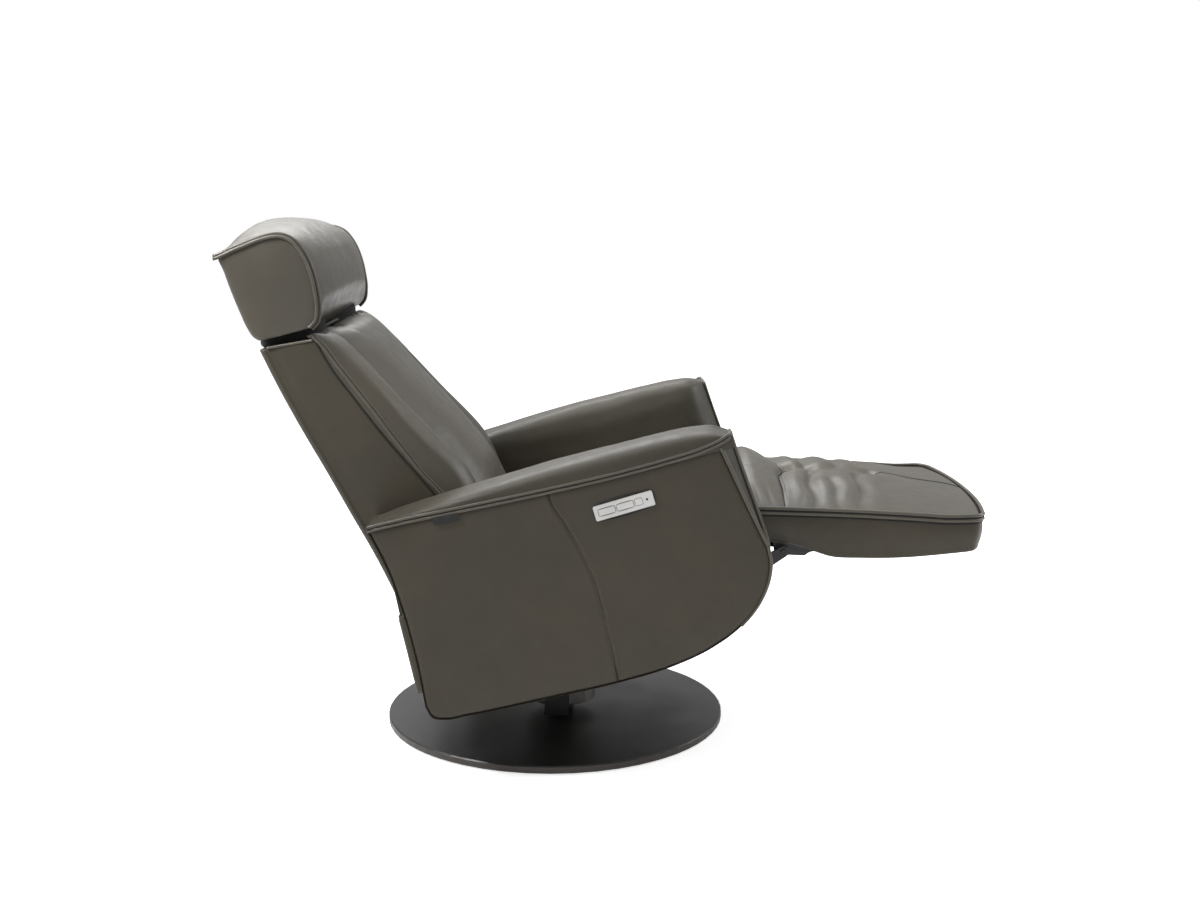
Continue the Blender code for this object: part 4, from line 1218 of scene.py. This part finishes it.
PAD_TOP = [
    (-0.0600, 0.0720), (-0.0680, 0.0800), (-0.0745, 0.0960), (-0.0750, 0.1130), (-0.0670, 0.1270),
    (-0.0500, 0.1345), (-0.0270, 0.1285), (-0.0080, 0.1190), (0.0110, 0.1115), (0.0450, 0.1100),
    (0.0900, 0.1115),
    (0.1410, 0.1100), (0.1970, 0.1060), (0.2500, 0.0995), (0.2900, 0.0925), (0.3150, 0.0865),
    (0.3360, 0.0810),
    (0.3480, 0.0755), (0.3500, 0.0720),
]
BASE_BOTTOM = [
    (-0.060, 0.0190), (-0.028, 0.0150), (0.015, 0.0115), (0.042, 0.0050), (0.085, -0.0080), (0.143, -0.0095),
    (0.212, -0.0065), (0.290, 0.0025), (0.331, 0.0085), (0.400, 0.0200),
]
CROSS_SEAM_D = 0.006


def front_bow(y):
    return 0.0245 * (1 - (np.abs(y) / BOARD_HALF) ** 2.2)


def seam_n(d):
    return smooth(d, [(-0.10, 0.0725), (0.15, 0.0725), (0.24, 0.0705), (0.29, 0.0690),
        (0.34, 0.0715), (0.42, 0.0740)])


# Fold valleys of the pad: side, place at the middle and at the rim, depth, width, and start
PAD_FOLDS = [
    (-1, 0.0700, 0.0560, 0.0095, 0.0100, 0.00), (-1, 0.0985, 0.1010, 0.0060, 0.0085, 0.08),
    (-1, 0.1650, 0.1430, 0.0095, 0.0115, 0.02), (-1, 0.2150, 0.1950, 0.0030, 0.0180, 0.05),
    (1, 0.0640, 0.0720, 0.0085, 0.0095, 0.00), (1, 0.1290, 0.1420, 0.0065, 0.0110, 0.00),
    (1, 0.1830, 0.1980, 0.0040, 0.0130, 0.02),
]


def cross_seam(y):
    return CROSS_SEAM_D + 0.022 * bell(y, 0.045) - 0.006 * np.clip(np.abs(y) - 0.15, 0, 1) / 0.1


def pad_height(d, y):
    """Folds, tucks and seams on the footrest pad, as a height to add at each place."""
    out = np.abs(y)
    total = np.zeros(np.broadcast(d, y).shape)
    for sign, middle, rim, depth, width, start in PAD_FOLDS:
        share = np.clip(out / 0.235, 0, 1)
        gap = d - (middle + (rim - middle) * share) - 0.004 * np.sin(out * 38.0 + middle * 90)
        size = np.where(gap < 0, width * 0.75, width * 1.7)
        there = np.clip((out - start) / 0.03, 0, 1) * np.where(sign * y > 0, 1.0,
            np.clip(1 - out / 0.02, 0, 1))
        total = total - depth * np.exp(-(gap / size) ** 2) * there
        total = total + 0.35 * depth * np.exp(-((gap + 2.4 * width) / (1.3 * width)) ** 2) * there
    for place, depth in ((0.030, 0.0210), (0.072, 0.0160), (0.191, 0.0130)):
        total = total - depth * np.exp(-((d - place) / 0.013) ** 2 - (y / 0.020) ** 2)
    tuck = np.clip((d - 0.02) / 0.02, 0, 1) * np.clip((0.215 - d) / 0.05, 0, 1)
    total = total - 0.0070 * bell(y, 0.022) * tuck
    total = total - 0.0016 * bell(y, 0.0045) * np.clip((d - 0.18) / 0.02, 0, 1)
    seam_at = cross_seam(y)
    total = total - 0.0060 * bell(d - seam_at, 0.0050) - 0.0050 * bell(d - seam_at - 0.004, 0.016)
    for place, lean, size in ((0.030, 0.6, 0.0020), (-0.022, -0.4, 0.0028), (-0.044, -0.5, 0.0024)):
        pinch = d - place - lean * (0.24 - out) * 0.35
        total = total - size * bell(pinch, 0.0050) * bell(out - 0.228, 0.030)
    return total


def footrest_pad():
    nd, ny = 300, 200
    line = curve(PAD_TOP, nd)
    us = (eased(ny, 0.7) - 0.5) * 2
    d = np.repeat(line[:, :1], ny, axis=1)
    n = np.repeat(line[:, 1:], ny, axis=1)
    y = np.repeat((us * BOARD_HALF)[None], nd, axis=0)
    share = np.clip((d - 0.20) / 0.150, 0, 1)
    d = d + front_bow(y) * share * share * (3 - 2 * share)
    dome = (1 - us**2) ** 0.80
    border = seam_n(d)
    height = (n - 0.072) * (0.06 + 0.94 * dome[None])
    height = np.where(np.abs(us)[None] > 0.9999, 0.0, height)
    soft = np.clip(height / 0.030, 0, 1)
    grid = np.stack([d, y, border + height], axis=-1)
    grid[..., 2] += pad_height(d, y) * soft
    wave = 0.0016 * ripple(grid, 13.0, 17.0) + 0.0004 * ripple(grid, 40.0, 6.0)
    grid[..., 2] += wave * soft
    pulled = np.clip((-0.045 - line[:, 0]) / 0.03, 0, 1)[:, None]
    grid[..., 0] += pulled * 0.012 * (np.abs(us)[None] ** 4)
    under = grid.copy()
    under[..., 2] = border - 0.0005
    grid = np.concatenate([under[:1], grid, under[-1:]])
    obj = surface("footrest_pad_cover", board_frame(grid), outward=False)
    orient(obj, (0, 0, 1))
    dress(obj, "footrest", LEATHER_SOFT, ["footrest_pad"])
    seam_y = np.linspace(-0.246, 0.246, 160)
    seam_d = cross_seam(seam_y)
    # The cross and centre seams are near-black cords: painted shadow in the seam grooves.
    drop_lines(grid, "footrest_cross_seam", seam_d, seam_y, SEAM_SHADE, 0.0009, 0.0003)
    lead = np.linspace(0.196, 0.372, 110)
    drop_lines(grid, "footrest_centre_seam", lead, np.zeros(110), SEAM_SHADE, 0.0009, 0.0003)
    drop_lines(grid, "footrest_cross_stitch", seam_d[8:-8] + 0.0055, seam_y[8:-8], THREAD, None, 0.0006)


def drop_lines(grid, name, ds, ys, material, radius, lift):
    """Lays a seam or a row of stitches on the pad's top at the given places."""
    flat = grid.reshape(-1, 3)
    points = []
    for d, y in zip(ds, ys):
        gap = (flat[:, 0] - d) ** 2 + (flat[:, 1] - y) ** 2
        near = np.argpartition(gap, 12)[:12]
        weight = 1 / (gap[near] + 1e-8)
        top = flat[near, 2]
        points.append((d, y, float((top * weight).sum() / weight.sum()) + lift))
    path = board_frame(curve(np.array(points), len(points)))
    if radius:
        cord(name, path, "footrest", material, radius)
    else:
        stitches(name, path, "footrest", radius=0.0005)


def board_plan(n):
    """The footrest's outline in plan, as (d, y), with round front corners and a bowed front."""
    rear, front, half, r = -0.060, 0.352, BOARD_HALF, 0.016
    right = [(d, -half) for d in np.linspace(rear + 0.012, front - r, 40)]
    corner = [
        (front - r + r * math.sin(a), -half + r - r * math.cos(a)) for a in np.linspace(0,
        math.pi / 2, 8)[1:-1]
    ]
    face = [(front + float(front_bow(y)), y) for y in np.linspace(-half + r, half - r, 60)]
    other = [(d, -y) for d, y in (right + corner)[::-1]]
    back = [(rear, y) for y in np.linspace(half - 0.012, -half + 0.012, 40)]
    return curve(np.array(right + corner + face + other + back), n, closed=True)


def footrest_base():
    n = 360
    plan = board_plan(n)
    d, y = plan[:, 0], plan[:, 1]
    tangent = np.roll(plan, -1, axis=0) - np.roll(plan, 1, axis=0)
    out = np.stack([tangent[:, 1], -tangent[:, 0]], axis=1)
    out = out / np.linalg.norm(out, axis=1)[:, None]
    top = seam_n(d) - 0.0005
    bottom = smooth(d, BASE_BOTTOM)
    rows = []
    for t in np.linspace(0, 1, 16):
        bulge = 0.0035 * math.sin(math.pi * min(1.0, t * 1.05)) - 0.0015 * (t**3)
        z = top + (bottom + 0.005 - top) * t
        rows.append(np.stack([d + out[:, 0] * bulge, y + out[:, 1] * bulge, z], axis=1))
    for a in np.linspace(0, math.pi / 2, 7)[1:]:
        inset = -0.0015 - 0.005 * (1 - math.cos(a))
        z = bottom + 0.005 - 0.005 * math.sin(a)
        rows.append(np.stack([d + out[:, 0] * inset, y + out[:, 1] * inset, z], axis=1))
    base = rows[-1]
    for k in (0.97, 0.85, 0.6, 0.3, 0.0):
        ring = base.copy()
        ring[:, 1] *= k
        ring[:, 2] = smooth(ring[:, 0], BASE_BOTTOM) + 0.0008
        rows.append(ring)
    grid = np.array(rows)
    wave = 0.0009 * ripple(grid, 15.0, 21.0)
    grid[:22, :, 1] += wave[:22] * np.sign(grid[:22, :, 1])
    side_faces = grid[:20]
    obj = surface("footrest_boxing", board_frame(side_faces), wrap_v=True)
    dress(obj, "footrest", LEATHER, ["footrest_base"])
    liner = grid[18:].copy()
    liner[:, :, 2] -= 0.0012 + 0.0085 * step_up(0.060 - liner[:, :, 0], 0.02)
    obj = surface("footrest_liner", board_frame(liner), wrap_v=True)
    dress(obj, "footrest", FABRIC)
    rim = np.stack([d + out[:, 0] * 0.0030, y + out[:, 1] * 0.0030, seam_n(d)], axis=1)
    double_cord("footrest_piping", board_frame(rim),
        board_frame(np.array([0.0, 0, 1])) - board_frame(np.zeros(3)),
                "footrest", 0.0034, closed=True)
    # A near-black cord just under the piping: painted shadow cast by the cord.
    groove = np.stack([d + out[:, 0] * 0.0016, y + out[:, 1] * 0.0016, seam_n(d) - 0.0088], axis=1)
    cord("footrest_under_piping_shadow", board_frame(groove), "footrest", SEAM_SHADE, 0.0024, closed=True)
    edge = rows[19].copy()
    cord("footrest_lower_edge", board_frame(edge), "footrest", LEATHER_CORD_LIT, 0.0013, closed=True)


# ---------------------------------------------------------------- stage

def area_light(name, place, target, size, power, spread=180.0):
    data = bpy.data.lights.new(name, "AREA")
    data.shape = "RECTANGLE"
    data.size, data.size_y = size
    data.energy = power
    data.spread = math.radians(spread)
    lamp = bpy.data.objects.new(name, data)
    lamp.location = place
    lamp.rotation_euler = (Vector(target) - Vector(place)).to_track_quat("-Z", "Y").to_euler()
    bpy.context.scene.collection.objects.link(lamp)
    return lamp


def studio():
    bpy.ops.mesh.primitive_plane_add(size=14.0, location=(0.0, 0.0, cad_box[0].z - 0.0005))
    floor = bpy.context.object
    floor.name = "studio_floor"
    mat, tree, shader = new_material("studio_floor")
    shader.inputs["Base Color"].default_value = (0.93, 0.93, 0.93, 1.0)
    shader.inputs["Roughness"].default_value = 0.85
    shader.inputs["Specular IOR Level"].default_value = 0.1
    shader.inputs["Emission Color"].default_value = (1.0, 1.0, 1.0, 1.0)
    eye = tree.nodes.new("ShaderNodeLightPath").outputs["Is Camera Ray"]
    tree.links.new(ranged(tree, eye, 0.22, 0.66), shader.inputs["Emission Strength"])
    floor.data.materials.append(mat)
    world = bpy.data.worlds.new("studio_world")
    world.use_nodes = True
    tree = world.node_tree
    place = tree.nodes.new("ShaderNodeTexCoord").outputs["Generated"]
    parts = tree.nodes.new("ShaderNodeSeparateXYZ")
    tree.links.new(place, parts.inputs["Vector"])
    tilted = math_node(tree, "MULTIPLY_ADD", parts.outputs["Y"], 0.25)
    tree.links.new(parts.outputs["Z"], tilted.node.inputs[2])
    sky = ramp(tree, tilted, [(0.0, (0.12, 0.12, 0.12)), (0.35, (0.38, 0.38, 0.38)),
        (0.95, (0.95, 0.95, 0.95))])
    seen = tree.nodes.new("ShaderNodeLightPath").outputs["Is Camera Ray"]
    tree.links.new(mixed(tree, seen, sky, (1.0, 1.0, 1.0)), tree.nodes["Background"].inputs["Color"])
    bpy.context.scene.world = world
    centre = (0.05, 0.0, 0.5)
    area_light("top_box", (0.0, 0.5, 3.4), centre, (3.2, 2.2), 40.0)
    area_light("front_box", (3.3, 0.6, 2.0), centre, (2.0, 1.6), 44.0)
    area_light("head_box", (-1.5, -0.7, 2.0), (-0.48, 0.0, 1.0), (0.9, 0.7), 9.0, 60.0)
    area_light("rear_box", (-0.9, 2.4, 2.8), centre, (2.6, 1.6), 50.0)
    area_light("near_box", (0.3, -3.6, 1.9), centre, (2.8, 1.4), 15.0)
    data = bpy.data.cameras.new("camera")
    data.lens = 45.42
    data.sensor_width = 36.0
    camera = bpy.data.objects.new("camera", data)
    camera.location = (0.089, -2.898, 1.033)
    camera.rotation_euler = (math.radians(80.21), 0.0, 0.0)
    bpy.context.scene.collection.objects.link(camera)
    bpy.context.scene.camera = camera
    bpy.context.scene.view_settings.view_transform = "Standard"


dress_cad()
for side_name, side_sign in SIDES:
    side_panel(side_name, side_sign)
    arm_sheet(side_name, side_sign)
    arm_boxing(side_name, side_sign)
    bolster(side_name, side_sign)
arm_label()
panel_lines()
rear_skirt()
seat_cushion()
front_apron()
seat_back_gussets()
back_shell()
centre_panel()
headrest()
footrest_pad()
footrest_base()
studio()
